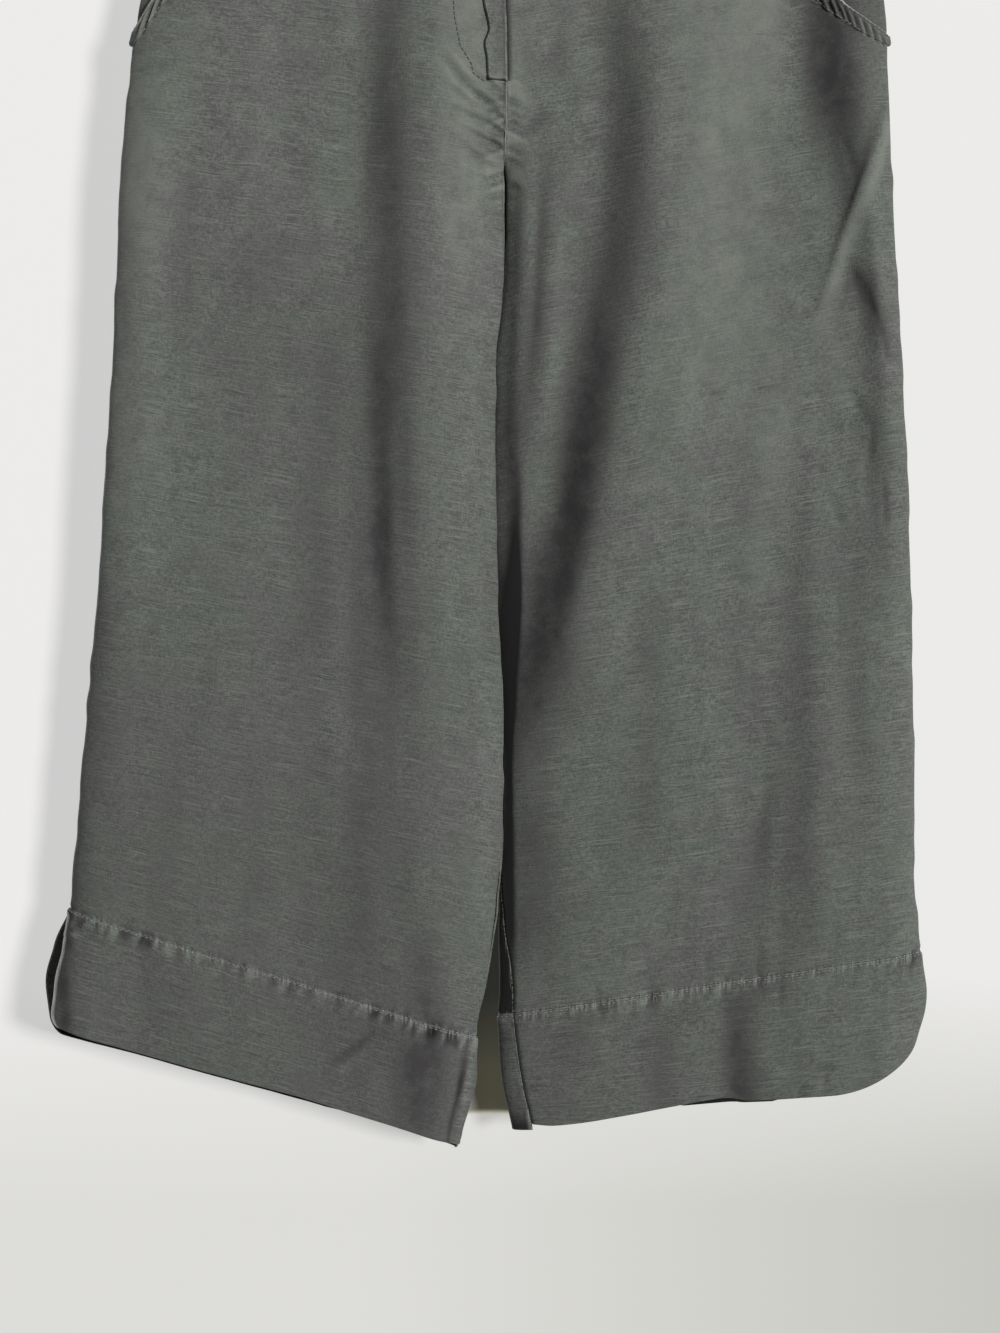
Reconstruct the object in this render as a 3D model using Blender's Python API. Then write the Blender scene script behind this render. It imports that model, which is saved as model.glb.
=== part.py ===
"""Wide-leg linen culottes that hang by the waist, front towards -Y, +Z up, in metres.

The origin is the middle of the waistband's top edge, where the culottes are held. Every cloth piece is
a thin wall: its outer face comes from one description of the hanging garment, and its inner face is
that face moved in along the cloth's own normals. "left" and "right" are as seen from the front.
A place on the cloth is named by its leg, its face (front or back), a turn from the side seam (0) to
the centre or inner leg (1), and a drop below the waistband's top edge at the inner end of the row.
"""

import math
from collections import namedtuple

import bmesh
import bpy
import numpy as np

# Cloth and seams
CLOTH_WALL = 0.0015
HEM_WALL = 0.0022
SEAM_GAP = 0.0003
HALF_GAP = SEAM_GAP / 2

# Heights, as drops below the top edge of the waistband
WAIST_SEAM_DROP = 0.035
POCKET_END_DROP = 0.1856
POCKET_STITCH_DROP = 0.1916
FLY_END_DROP = 0.2165
CROTCH_DROP = 0.272
BAND_DROP = {"left": 0.8569, "right": 0.8428}
HEM_DROP = {"left": 0.9280, "right": 0.9190}

# Section shape: how far in from an edge the tube takes to reach its full depth, and how far above the
# crotch the round edge at the inner leg has closed into the flat centre seam
BACK_SIDE_ROUND = 0.060
INNER_ROUND = 0.100
CROTCH_RISE = 0.045
SLIT_OPEN = 0.06

# How sharply the side edges' lean forward fades towards the inner leg
LEAN_FADE = {"left": 2, "right": 6}

# Folds die out this close to an edge, and over this share of their length at either end
FOLD_HOLD = 0.020
FOLD_FADE = 0.3

# Rounded lower corners of the hem bands at the side slits: width and height
HEM_CORNER = {"left": (0.008, 0.010), "right": (0.064, 0.064)}
BACK_BAND_FLARE = {"left": 0.0045, "right": 0.0015}

# Trims
TRIM_THICKNESS = 0.0010
FLY_BAND_WIDTH = 0.0118
FLY_BAND_OVERLAP = 0.0010
FLY_GUARD_REACH = 0.0240
FLY_GUARD_GAP = 0.0006
HIP_SETTLE = 0.7
WAISTBAND_PROUD = 0.0006
WAISTBAND_WALL = 0.0022
LAP_END = 0.0010
UNDERLAP_START = 0.0220
UNDERLAP_SLOPE = 0.0150
UNDERLAP_END = -0.030
UNDERLAP_SHIFT = 0.0026

# Button
BUTTON_X = -0.0125
BUTTON_RADIUS = 0.0080
BUTTON_THICKNESS = 0.0026
BUTTON_HOLES = 4
BUTTON_HOLE_RADIUS = 0.0009
BUTTON_HOLE_SPREAD = 0.0018
HOLE_CUTTER_LENGTH = 0.010

# Mesh fineness: columns across a panel and rows down it, with how strongly they crowd together
MIDDLE_COLUMNS = 15
SIDE_COLUMNS = (0.003, 0.009)
INNER_COLUMNS = (FLY_GUARD_REACH, FLY_BAND_WIDTH, 0.004)
POCKET_EDGE_COLUMNS = 3
HIP_COLUMNS = 7
POCKET_ROWS = 10
POCKET_CROWDING = 1.9
CROTCH_ROWS = 6
BELOW_CROTCH = (0.012, 0.030, 0.055)
LEG_ROWS = 17
BAND_ROWS = 6
BAND_CROWDING = 1.5
BUTTON_SIDES = 24
HOLE_SIDES = 10
SHARP_ANGLE = math.radians(50)
SAME_ROW = 1e-6
LEAST_TURN = 0.01

# Places round the waistband: by x on the front, by turn round the sides and the back
WAIST_FRONT_REACH = 0.170
WAIST_LAP_COLUMNS = 9
WAIST_FRONT_COLUMNS = 7
WAIST_UNDERLAP_COLUMNS = 6
WAIST_SIDE_TURNS = (0.20, 0.14, 0.08, 0.03)
WAIST_BACK_TURNS = (0.03, 0.10, 0.20, 0.35, 0.50, 0.65, 0.80, 0.95)

CLOTH_COLOUR = (0.125, 0.130, 0.118, 1.0)
TRIM_COLOUR = (0.140, 0.145, 0.132, 1.0)
INSIDE_COLOUR = (0.090, 0.094, 0.085, 1.0)
BUTTON_COLOUR = (0.060, 0.058, 0.050, 1.0)

# Outline of each leg: a row for each section, from its inner end to its side end
Outline = namedtuple("Outline", "drop inner_x side_drop side_x")
LEFT_OUTLINE = [
    Outline(0.0000, 0.0000, 0.0000, -0.1980),
    Outline(0.0350, 0.0000, 0.0350, -0.2030),
    Outline(0.0900, 0.0000, 0.0900, -0.2255),
    Outline(0.1615, 0.0000, 0.1615, -0.2446),
    Outline(0.1856, 0.0007, 0.1856, -0.2492),
    Outline(0.2285, 0.0010, 0.2285, -0.2539),
    Outline(0.2720, -0.0002, 0.2720, -0.2576),
    Outline(0.3370, 0.0006, 0.3290, -0.2606),
    Outline(0.4027, -0.0047, 0.3859, -0.2626),
    Outline(0.4831, -0.0054, 0.4563, -0.2673),
    Outline(0.5635, -0.0040, 0.5266, -0.2714),
    Outline(0.6439, -0.0003, 0.5970, -0.2774),
    Outline(0.7176, -0.0007, 0.6586, -0.2827),
    Outline(0.7846, -0.0060, 0.7142, -0.2874),
    Outline(0.8214, -0.0121, 0.7444, -0.2908),
    Outline(0.8569, -0.0190, 0.7698, -0.2925),
    Outline(0.8817, -0.0192, 0.7946, -0.2982),
    Outline(0.9052, -0.0246, 0.8214, -0.3040),
    Outline(0.9280, -0.0302, 0.8510, -0.3045),
]
RIGHT_OUTLINE = [
    Outline(0.0000, 0.0000, 0.0000, 0.2040),
    Outline(0.0350, 0.0000, 0.0350, 0.2090),
    Outline(0.0900, 0.0000, 0.0900, 0.2335),
    Outline(0.1615, 0.0000, 0.1615, 0.2553),
    Outline(0.1856, 0.0007, 0.1856, 0.2570),
    Outline(0.2285, 0.0010, 0.2285, 0.2583),
    Outline(0.2720, -0.0002, 0.2720, 0.2603),
    Outline(0.3370, 0.0006, 0.3323, 0.2633),
    Outline(0.4027, -0.0068, 0.3926, 0.2667),
    Outline(0.4831, -0.0076, 0.4663, 0.2707),
    Outline(0.5635, -0.0064, 0.5400, 0.2734),
    Outline(0.6439, -0.0034, 0.6137, 0.2750),
    Outline(0.7176, -0.0038, 0.6827, 0.2760),
    Outline(0.7812, -0.0047, 0.7390, 0.2745),
    Outline(0.8147, -0.0042, 0.7725, 0.2754),
    Outline(0.8428, -0.0040, 0.7986, 0.2787),
    Outline(0.8650, -0.0034, 0.8260, 0.2820),
    Outline(0.8904, -0.0010, 0.8570, 0.2806),
    Outline(0.9190, 0.0060, 0.8950, 0.2790),
]
OUTLINES = {"left": LEFT_OUTLINE, "right": RIGHT_OUTLINE}

# Depth of the hanging cloth: front and back half depths, how far the inner leg edges part in Y
# (left leg forward, right leg back), how far each leg's side edge leans forward, and how far in from
# the side the front takes to reach its full depth
Depth = namedtuple("Depth", "drop front back part left_lean right_lean side_round")
DEPTHS = [
    Depth(0.000, 0.0100, 0.0110, 0.0000, 0.0000, 0.0000, 0.060),
    Depth(0.035, 0.0110, 0.0125, 0.0000, 0.0000, 0.0000, 0.060),
    Depth(0.090, 0.0150, 0.0175, 0.0000, 0.0050, 0.0060, 0.048),
    Depth(0.162, 0.0180, 0.0215, 0.0000, 0.0090, 0.0100, 0.038),
    Depth(0.272, 0.0190, 0.0230, 0.0000, 0.0110, 0.0120, 0.035),
    Depth(0.345, 0.0195, 0.0235, 0.0055, 0.0110, 0.0120, 0.035),
    Depth(0.420, 0.0200, 0.0240, 0.0075, 0.0110, 0.0110, 0.035),
    Depth(0.564, 0.0205, 0.0230, 0.0075, 0.0100, 0.0080, 0.035),
    Depth(0.718, 0.0215, 0.0225, 0.0070, 0.0090, 0.0060, 0.035),
    Depth(0.785, 0.0215, 0.0220, 0.0055, 0.0080, 0.0050, 0.035),
    Depth(0.857, 0.0210, 0.0220, 0.0030, 0.0070, 0.0050, 0.035),
    Depth(0.928, 0.0215, 0.0225, 0.0020, 0.0070, 0.0050, 0.035),
]

# How far the back cloth comes round to the front: at the left leg's side and the right leg's inside
Turn = namedtuple("Turn", "drop width")
LEFT_SIDE_TURN = [
    Turn(0.40, 0.0000),
    Turn(0.56, 0.0016),
    Turn(0.78, 0.0018),
    Turn(0.8569, 0.0000),
]
RIGHT_INNER_TURN = [
    Turn(0.7176, 0.0000),
    Turn(0.7812, 0.0070),
    Turn(0.8147, 0.0122),
    Turn(0.8428, 0.0138),
    Turn(0.8904, 0.0168),
    Turn(0.9190, 0.0170),
]

# Largest soft folds: a crest line from start to end with one bend, its height (less than 0 for a
# trough) and its width on either side
Fold = namedtuple("Fold", "start_x start_drop bend_x end_x end_drop height wide_left wide_right")
FRONT_FOLDS = [
    Fold(-0.062, 0.060, -0.068, -0.046, 0.700, 0.0062, 0.020, 0.045),
    Fold(-0.096, 0.070, -0.102, -0.088, 0.640, -0.0032, 0.026, 0.018),
    Fold(-0.052, 0.500, -0.050, -0.046, 1.020, 0.0030, 0.024, 0.030),
    Fold(-0.180, 0.330, -0.200, -0.235, 1.000, 0.0030, 0.030, 0.036),
    Fold(-0.130, 0.560, -0.135, -0.128, 1.020, -0.0026, 0.028, 0.028),
    Fold(0.098, 0.050, 0.119, 0.004, 0.720, 0.0088, 0.022, 0.050),
    Fold(0.066, 0.060, 0.085, -0.010, 0.660, -0.0045, 0.020, 0.018),
    Fold(0.012, 0.230, 0.014, 0.006, 0.560, 0.0030, 0.012, 0.016),
    Fold(0.207, 0.080, 0.268, 0.268, 0.600, 0.0055, 0.018, 0.020),
    Fold(0.178, 0.080, 0.244, 0.242, 0.600, -0.0042, 0.030, 0.016),
    Fold(0.206, 0.420, 0.208, 0.212, 0.860, 0.0026, 0.012, 0.026),
    Fold(0.170, 0.600, 0.158, 0.150, 1.020, -0.0030, 0.024, 0.024),
    Fold(0.104, 0.740, 0.104, 0.108, 1.020, -0.0026, 0.016, 0.020),
]
BACK_FOLDS = [
    Fold(-0.060, 0.060, -0.066, -0.050, 0.640, -0.0040, 0.026, 0.024),
    Fold(-0.120, 0.120, -0.128, -0.110, 1.020, 0.0044, 0.030, 0.036),
    Fold(-0.190, 0.300, -0.200, -0.215, 1.000, -0.0036, 0.024, 0.028),
    Fold(-0.046, 0.500, -0.050, -0.070, 1.020, 0.0030, 0.020, 0.024),
    Fold(0.066, 0.070, 0.070, 0.044, 0.600, -0.0036, 0.024, 0.026),
    Fold(0.130, 0.090, 0.126, 0.118, 0.980, 0.0048, 0.034, 0.030),
    Fold(0.196, 0.340, 0.206, 0.202, 1.020, -0.0032, 0.026, 0.024),
    Fold(0.060, 0.600, 0.056, 0.064, 1.020, 0.0030, 0.024, 0.020),
]

# How far the right leg's hem rises above its straight line, by the share of the way from the side
HemRise = namedtuple("HemRise", "share rise")
RIGHT_HEM_RISE = [
    HemRise(0.000, 0.0040),
    HemRise(0.187, 0.0054),
    HemRise(0.341, 0.0060),
    HemRise(0.418, 0.0050),
    HemRise(0.480, 0.0074),
    HemRise(0.542, 0.0077),
    HemRise(0.648, 0.0067),
    HemRise(0.740, 0.0034),
    HemRise(0.839, 0.0012),
    HemRise(0.958, 0.0038),
    HemRise(1.000, 0.0000),
]

# The curved mouth of each pocket, from the waist seam out to the side seam, and its stitch line
PocketMouth = namedtuple("PocketMouth", "drop x stitch_x")
POCKET_MOUTHS = {
    "left": [
        PocketMouth(0.0350, -0.1500, -0.1390),
        PocketMouth(0.0800, -0.1770, -0.1658),
        PocketMouth(0.1200, -0.2060, -0.1944),
        PocketMouth(0.1500, -0.2270, -0.2152),
        PocketMouth(0.1670, -0.2385, -0.2290),
        PocketMouth(0.1780, -0.2456, -0.2374),
        PocketMouth(POCKET_END_DROP, -0.2492, -0.2432),
        PocketMouth(POCKET_STITCH_DROP, -0.2500, -0.2480),
    ],
    "right": [
        PocketMouth(0.0350, 0.1500, 0.1390),
        PocketMouth(0.0800, 0.1730, 0.1616),
        PocketMouth(0.1200, 0.1960, 0.1838),
        PocketMouth(0.1500, 0.2145, 0.2000),
        PocketMouth(0.1670, 0.2278, 0.2118),
        PocketMouth(0.1780, 0.2440, 0.2262),
        PocketMouth(POCKET_END_DROP, 0.2556, 0.2385),
        PocketMouth(POCKET_STITCH_DROP, 0.2570, 0.2535),
    ],
}

# Half section of the button, from the middle of its back to the middle of its face, in shares of
# its radius and its thickness
ButtonPoint = namedtuple("ButtonPoint", "across forward")
BUTTON_SECTION = [
    ButtonPoint(0.00, 0.00),
    ButtonPoint(0.80, 0.00),
    ButtonPoint(1.00, 0.35),
    ButtonPoint(1.00, 0.70),
    ButtonPoint(0.90, 1.00),
    ButtonPoint(0.80, 0.89),
    ButtonPoint(0.68, 0.73),
    ButtonPoint(0.00, 0.73),
]


def even_slopes(knots, values):
    """Slopes at a curve's knots that keep it from swinging past its values."""
    runs = np.diff(values) / np.diff(knots)
    slopes = np.zeros_like(values)
    before, after = runs[:-1], runs[1:]
    same_way = before * after > 0
    total = np.where(same_way, before + after, 1.0)
    slopes[1:-1] = np.where(same_way, 2 * before * after / total, 0.0)
    slopes[0], slopes[-1] = runs[0], runs[-1]
    return slopes


def along(rows, column, where):
    """Reads one column of a table on a smooth curve through its rows, by the table's first column."""
    knots = np.array([row[0] for row in rows])
    values = np.array([getattr(row, column) for row in rows])
    slopes = even_slopes(knots, values)
    where = np.asarray(where, dtype=float)
    place = np.clip(np.searchsorted(knots, where) - 1, 0, len(knots) - 2)
    span = knots[place + 1] - knots[place]
    s = np.clip((where - knots[place]) / span, 0.0, 1.0)
    rise = s * s * (3 - 2 * s)
    start_bend = s * (1 - s) ** 2 * span * slopes[place]
    end_bend = s * s * (s - 1) * span * slopes[place + 1]
    return values[place] * (1 - rise) + values[place + 1] * rise + start_bend + end_bend


def ease(s):
    """Goes smoothly from 0 to 1 as s does."""
    s = np.clip(s, 0.0, 1.0)
    return s * s * (3 - 2 * s)


def rounded(distance, width):
    """A quarter ellipse: 0 at an edge, 1 from the width inwards."""
    s = np.clip(distance / width, 0.0, 1.0)
    return np.sqrt(1 - (1 - s) ** 2)


def fold_height(folds, x, drop):
    """Sums the folds at each place, outwards from the cloth."""
    height = np.zeros_like(x)
    for fold in folds:
        s = np.clip((drop - fold.start_drop) / (fold.end_drop - fold.start_drop), 0.0, 1.0)
        crest = (1 - s) ** 2 * fold.start_x + 2 * s * (1 - s) * fold.bend_x + s * s * fold.end_x
        fade = ease(s / FOLD_FADE) * ease((1 - s) / FOLD_FADE)
        width = np.where(x < crest, fold.wide_left, fold.wide_right)
        height = height + fold.height * fade * np.exp(-(((x - crest) / width) ** 2))
    return height


def cloth_point(leg, face, turn, drop):
    """The garment's outer surface. A turn past 0 or 1 goes round the edge to the other face."""
    turn, drop = np.broadcast_arrays(np.asarray(turn, float), np.asarray(drop, float))
    outline = OUTLINES[leg]
    toward_side = -1.0 if leg == "left" else 1.0
    other_face = (turn < 0) | (turn > 1)
    outward = np.where(other_face, -1.0, 1.0) * (-1.0 if face == "front" else 1.0)
    is_front = outward < 0
    across = (1 - np.cos(math.pi * turn)) / 2

    side_x = along(outline, "side_x", drop)
    inner_x = along(outline, "inner_x", drop) + toward_side * HALF_GAP
    side_drop = along(outline, "side_drop", drop)
    width = np.abs(inner_x - side_x)
    from_side = across * width
    from_inner = (1 - across) * width

    band = np.clip((drop - BAND_DROP[leg]) / (HEM_DROP[leg] - BAND_DROP[leg]), 0.0, 1.0)
    flare = np.where(is_front, 0.0, BACK_BAND_FLARE[leg] * np.sin(math.pi * band) * (1 - across) ** 4)
    x = side_x + (inner_x - side_x) * across + toward_side * flare
    down = side_drop + (drop - side_drop) * across

    above_crotch = np.clip((CROTCH_DROP - drop) / CROTCH_RISE, 0.0, 1.0)
    side_round = np.where(is_front, along(DEPTHS, "side_round", drop), BACK_SIDE_ROUND)
    side_start = SLIT_OPEN * side_round * band
    from_crotch = np.hypot(from_inner, INNER_ROUND * above_crotch)
    shape = rounded(from_side + side_start, side_round) * rounded(from_crotch, INNER_ROUND)
    half = np.where(is_front, along(DEPTHS, "front", drop), along(DEPTHS, "back", drop))

    hold = ease(from_side / FOLD_HOLD) * ease(from_crotch / FOLD_HOLD)
    folds = np.where(is_front, fold_height(FRONT_FOLDS, x, down), fold_height(BACK_FOLDS, x, down))

    part = toward_side * along(DEPTHS, "part", drop) * across ** 3
    lean = along(DEPTHS, f"{leg}_lean", drop) * (1 - across) ** LEAN_FADE[leg]
    y = part - lean + outward * (half * shape + folds * hold)
    return np.stack([x, y, -down], axis=-1)


def cloth_inward(leg, face, turn, drop):
    """Unit normals that point into the garment."""
    turn, drop = np.broadcast_arrays(np.asarray(turn, float), np.asarray(drop, float))
    step = 2e-4
    sideways = np.where(turn > 0.5, -step, step)
    here = cloth_point(leg, face, turn, drop)
    across = (cloth_point(leg, face, turn + sideways, drop) - here) / sideways[..., None]
    downward = np.where(drop > HEM_DROP[leg] - step, -step, step)
    down = (cloth_point(leg, face, turn, drop + downward) - here) / downward[..., None]
    normal = np.cross(across, down)
    normal /= np.linalg.norm(normal, axis=-1, keepdims=True)
    flip = (1 if leg == "left" else -1) * (1 if face == "front" else -1)
    return normal * flip


def turn_at(leg, x, drop):
    """The turn of a place given by x, for drops above the crotch or along one row."""
    outline = OUTLINES[leg]
    toward_side = -1.0 if leg == "left" else 1.0
    side_x = along(outline, "side_x", drop)
    inner_x = along(outline, "inner_x", drop) + toward_side * HALF_GAP
    across = np.clip((x - side_x) / (inner_x - side_x), 0.0, 1.0)
    return np.arccos(1 - 2 * across) / math.pi


def turn_from_edge(leg, face, edge, drop, distance):
    """The turn that lies a given length of cloth away from the edge at turn 0 or 1."""
    widest_turn = 0.4
    halvings = 30
    drop = np.asarray(drop, float)
    start = cloth_point(leg, face, np.full(drop.shape, float(edge)), drop)
    inwards = 1.0 if edge == 0 else -1.0
    low = np.zeros(drop.shape)
    high = np.full(drop.shape, widest_turn)
    for _ in range(halvings):
        middle = (low + high) / 2
        reach = np.linalg.norm(cloth_point(leg, face, edge + inwards * middle, drop) - start, axis=-1)
        low = np.where(reach < distance, middle, low)
        high = np.where(reach < distance, high, middle)
    return edge + inwards * (low + high) / 2


def make_material(name, colour, roughness, metallic=0.0):
    material = bpy.data.materials.new(name)
    material.use_nodes = True
    shader = material.node_tree.nodes["Principled BSDF"]
    shader.inputs["Base Color"].default_value = colour
    shader.inputs["Roughness"].default_value = roughness
    shader.inputs["Metallic"].default_value = metallic
    return material


def finish_object(name, mesh_data, material):
    """Turns a bmesh into a named, smooth-shaded object with its material."""
    bmesh.ops.recalc_face_normals(mesh_data, faces=mesh_data.faces)
    mesh = bpy.data.meshes.new(name)
    mesh_data.to_mesh(mesh)
    mesh_data.free()
    mesh.shade_smooth()
    mesh.set_sharp_from_angle(angle=SHARP_ANGLE)
    mesh.materials.append(material)
    thing = bpy.data.objects.new(name, mesh)
    bpy.context.scene.collection.objects.link(thing)
    return thing


def add_wall(name, outer, inner, material):
    """A closed cloth wall from two matching grids of points, with a rim all round."""
    rows, columns = outer.shape[:2]
    data = bmesh.new()
    layers = [[[data.verts.new(layer[r, c]) for c in range(columns)] for r in range(rows)]
              for layer in (outer, inner)]
    for layer in layers:
        for r in range(rows - 1):
            for c in range(columns - 1):
                data.faces.new([layer[r][c], layer[r][c + 1], layer[r + 1][c + 1], layer[r + 1][c]])
    rim = [(0, c) for c in range(columns)]
    rim += [(r, columns - 1) for r in range(1, rows)]
    rim += [(rows - 1, c) for c in range(columns - 2, -1, -1)]
    rim += [(r, 0) for r in range(rows - 2, 0, -1)]
    for here, there in zip(rim, rim[1:] + rim[:1]):
        data.faces.new([
            layers[0][here[0]][here[1]],
            layers[0][there[0]][there[1]],
            layers[1][there[0]][there[1]],
            layers[1][here[0]][here[1]],
        ])
    return finish_object(name, data, material)


def add_cloth(name, leg, face, turns, drops, wall, material, outside=0.0):
    """A cloth piece of one wall thickness, its outer face moved out by `outside`."""
    points = cloth_point(leg, face, turns, drops)
    inward = cloth_inward(leg, face, turns, drops)
    outside = np.broadcast_to(np.asarray(outside, float), turns.shape)[..., None]
    return add_wall(name, points - inward * outside, points + inward * (wall - outside), material)


def panel_drops(leg):
    """Rows of a leg panel: close along the pocket mouth and at the crotch, even down the leg."""
    top = WAIST_SEAM_DROP + HALF_GAP
    steps = np.linspace(0.0, 1.0, POCKET_ROWS)
    pocket = list(top + (POCKET_END_DROP - top) * (1 - (1 - steps) ** POCKET_CROWDING))
    pocket += [(POCKET_END_DROP + POCKET_STITCH_DROP) / 2, POCKET_STITCH_DROP]
    crotch = [FLY_END_DROP]
    crotch += [CROTCH_DROP - CROTCH_RISE * (1 - math.cos(math.pi / 2 * k / CROTCH_ROWS))
               for k in range(CROTCH_ROWS - 1, -1, -1)]
    crotch += [CROTCH_DROP + below for below in BELOW_CROTCH[:-1]]
    legs = np.linspace(CROTCH_DROP + BELOW_CROTCH[-1], BAND_DROP[leg] - HALF_GAP, LEG_ROWS)
    return np.array(pocket + crotch + list(legs))


def band_drops(leg):
    """Rows of a hem band, closer together towards its rounded corner."""
    top = BAND_DROP[leg] + HALF_GAP
    steps = np.linspace(0.0, 1.0, BAND_ROWS)
    return top + (HEM_DROP[leg] - top) * (1 - (1 - steps) ** BAND_CROWDING)


def side_start(leg, face, drops):
    """Where a piece starts at the side: at the seam, the turned seam or the slit's rounded corner."""
    corner_wide, corner_tall = HEM_CORNER[leg]
    outline = OUTLINES[leg]
    above_hem = outline[-1].side_drop - along(outline, "side_drop", drops)
    cut_away = corner_wide * (1 - rounded(above_hem, corner_tall))
    start = turn_from_edge(leg, face, 0, drops, HALF_GAP + cut_away)
    if leg == "left":
        width = along(LEFT_SIDE_TURN, "width", drops)
        turned = drops < BAND_DROP[leg]
        if face == "front":
            seam = turn_from_edge(leg, face, 0, drops, width + HALF_GAP)
            start = np.where(turned, seam, start)
        else:
            reach = turn_from_edge(leg, "front", 0, drops, np.maximum(width - HALF_GAP, HALF_GAP))
            start = np.where(turned & (width > SEAM_GAP), -reach, start)
    return start


def inner_end(leg, face, drops):
    """Where a piece ends: at the centre seam, the inner leg seam or the turned inner leg seam."""
    seam = turn_from_edge(leg, face, 1, drops, HALF_GAP)
    end = np.where(drops < CROTCH_DROP - SAME_ROW, 1.0, seam)
    if leg == "right":
        width = along(RIGHT_INNER_TURN, "width", drops)
        reach = turn_from_edge(leg, "front", 1, drops, np.maximum(width - HALF_GAP, HALF_GAP))
        turned = turn_from_edge(leg, "front", 1, drops, width + HALF_GAP)
        if face == "front":
            end = np.where(width > SEAM_GAP, turned, end)
        else:
            end = np.where(width > SEAM_GAP, 2 - reach, end)
    return end


def spread(start, end, count):
    """Columns between two turns, a row of them for each start and end."""
    steps = np.linspace(0.0, 1.0, count)
    return start[:, None] + (end - start)[:, None] * steps[None, :]


def piece_turns(leg, face, drops):
    """Columns of a leg piece, closer together at its two edges and along the pocket's trim."""
    start = side_start(leg, face, drops)
    end = inner_end(leg, face, drops)
    side = [start + turn_from_edge(leg, face, 0, drops, reach) for reach in SIDE_COLUMNS]
    if face == "front":
        mouth = turn_at(leg, along(POCKET_MOUTHS[leg], "x", drops), drops)
        stitch = turn_at(leg, along(POCKET_MOUTHS[leg], "stitch_x", drops), drops)
        cut = np.where(drops < POCKET_END_DROP - SAME_ROW, np.maximum(mouth, start), start)
        trimmed = drops < POCKET_STITCH_DROP + SAME_ROW
        stitch = np.maximum(stitch, cut + LEAST_TURN)
        side = [np.where(trimmed, (cut + stitch) / 2, side[0]), np.where(trimmed, stitch, side[1])]
        start = cut
    inner = [np.minimum(turn_from_edge(leg, face, 1, drops, reach), 1.0) for reach in INNER_COLUMNS]
    inner = [end - (1.0 - turn) for turn in inner]
    middle = spread(side[-1], inner[0], MIDDLE_COLUMNS)
    edges = [start[:, None], side[0][:, None]]
    return np.concatenate(edges + [middle] + [turn[:, None] for turn in inner[1:] + [end]], axis=1)


def piece_grid(leg, face, drops):
    turns = piece_turns(leg, face, drops)
    return turns, np.broadcast_to(drops[:, None], turns.shape)


def make_panels(material):
    """The four leg panels; the front ones are cut away at the pocket mouths."""
    for leg in ("left", "right"):
        for face in ("front", "back"):
            turns, rows = piece_grid(leg, face, panel_drops(leg))
            add_cloth(f"{face}_{leg}", leg, face, turns, rows, CLOTH_WALL, material)


def make_hem_bands(material):
    """Deep hem bands, open at the side slit and sewn at the inner leg."""
    for leg in ("left", "right"):
        for face in ("front", "back"):
            turns, rows = piece_grid(leg, face, band_drops(leg))
            if leg == "right":
                share = (1 - np.cos(math.pi * np.clip(turns, 0.0, 1.0))) / 2
                progress = (rows - BAND_DROP[leg]) / (HEM_DROP[leg] - BAND_DROP[leg])
                rows = rows - along(RIGHT_HEM_RISE, "rise", share) * progress ** 2
            add_cloth(f"hem_{face}_{leg}", leg, face, turns, rows, HEM_WALL, material)


def make_pockets(trim, inside):
    """The stitched edge on each pocket mouth, and the hip piece that lies under it."""
    for leg in ("left", "right"):
        turns, rows = piece_grid(leg, "front", panel_drops(leg))
        count = int(np.sum(rows[:, 0] < POCKET_STITCH_DROP + SAME_ROW))
        edge_turns = turns[:count, :POCKET_EDGE_COLUMNS]
        edge_rows = rows[:count, :POCKET_EDGE_COLUMNS]
        add_cloth(f"pocket_edge_{leg}", leg, "front", edge_turns, edge_rows,
                  TRIM_THICKNESS, trim, SEAM_GAP + TRIM_THICKNESS)

        count = POCKET_ROWS - 1
        drops = rows[:count, 0]
        side = turn_from_edge(leg, "front", 0, drops, HALF_GAP)
        mouth = turns[:count, 0]
        hip_turns = np.concatenate([spread(side, mouth, HIP_COLUMNS), turns[:count, 1:2]], axis=1)
        hip_rows = np.broadcast_to(drops[:, None], hip_turns.shape)
        sunk = CLOTH_WALL + SEAM_GAP
        depth = -sunk * ease((hip_turns - side[:, None]) / (mouth - side)[:, None] / HIP_SETTLE)
        add_cloth(f"hip_{leg}", leg, "front", hip_turns, hip_rows, CLOTH_WALL, inside, depth)


def hip_front(x, drop):
    """Outer points and inward normals of the front above the crotch, across both halves."""
    points = np.zeros(x.shape + (3,))
    inward = np.zeros(x.shape + (3,))
    centre = along(LEFT_OUTLINE, "inner_x", drop)
    for leg, chosen in (("left", x <= centre), ("right", x > centre)):
        turns = turn_at(leg, x, drop)
        points = np.where(chosen[..., None], cloth_point(leg, "front", turns, drop), points)
        inward = np.where(chosen[..., None], cloth_inward(leg, "front", turns, drop), inward)
    points[..., 0] = x
    return points, inward


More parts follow.
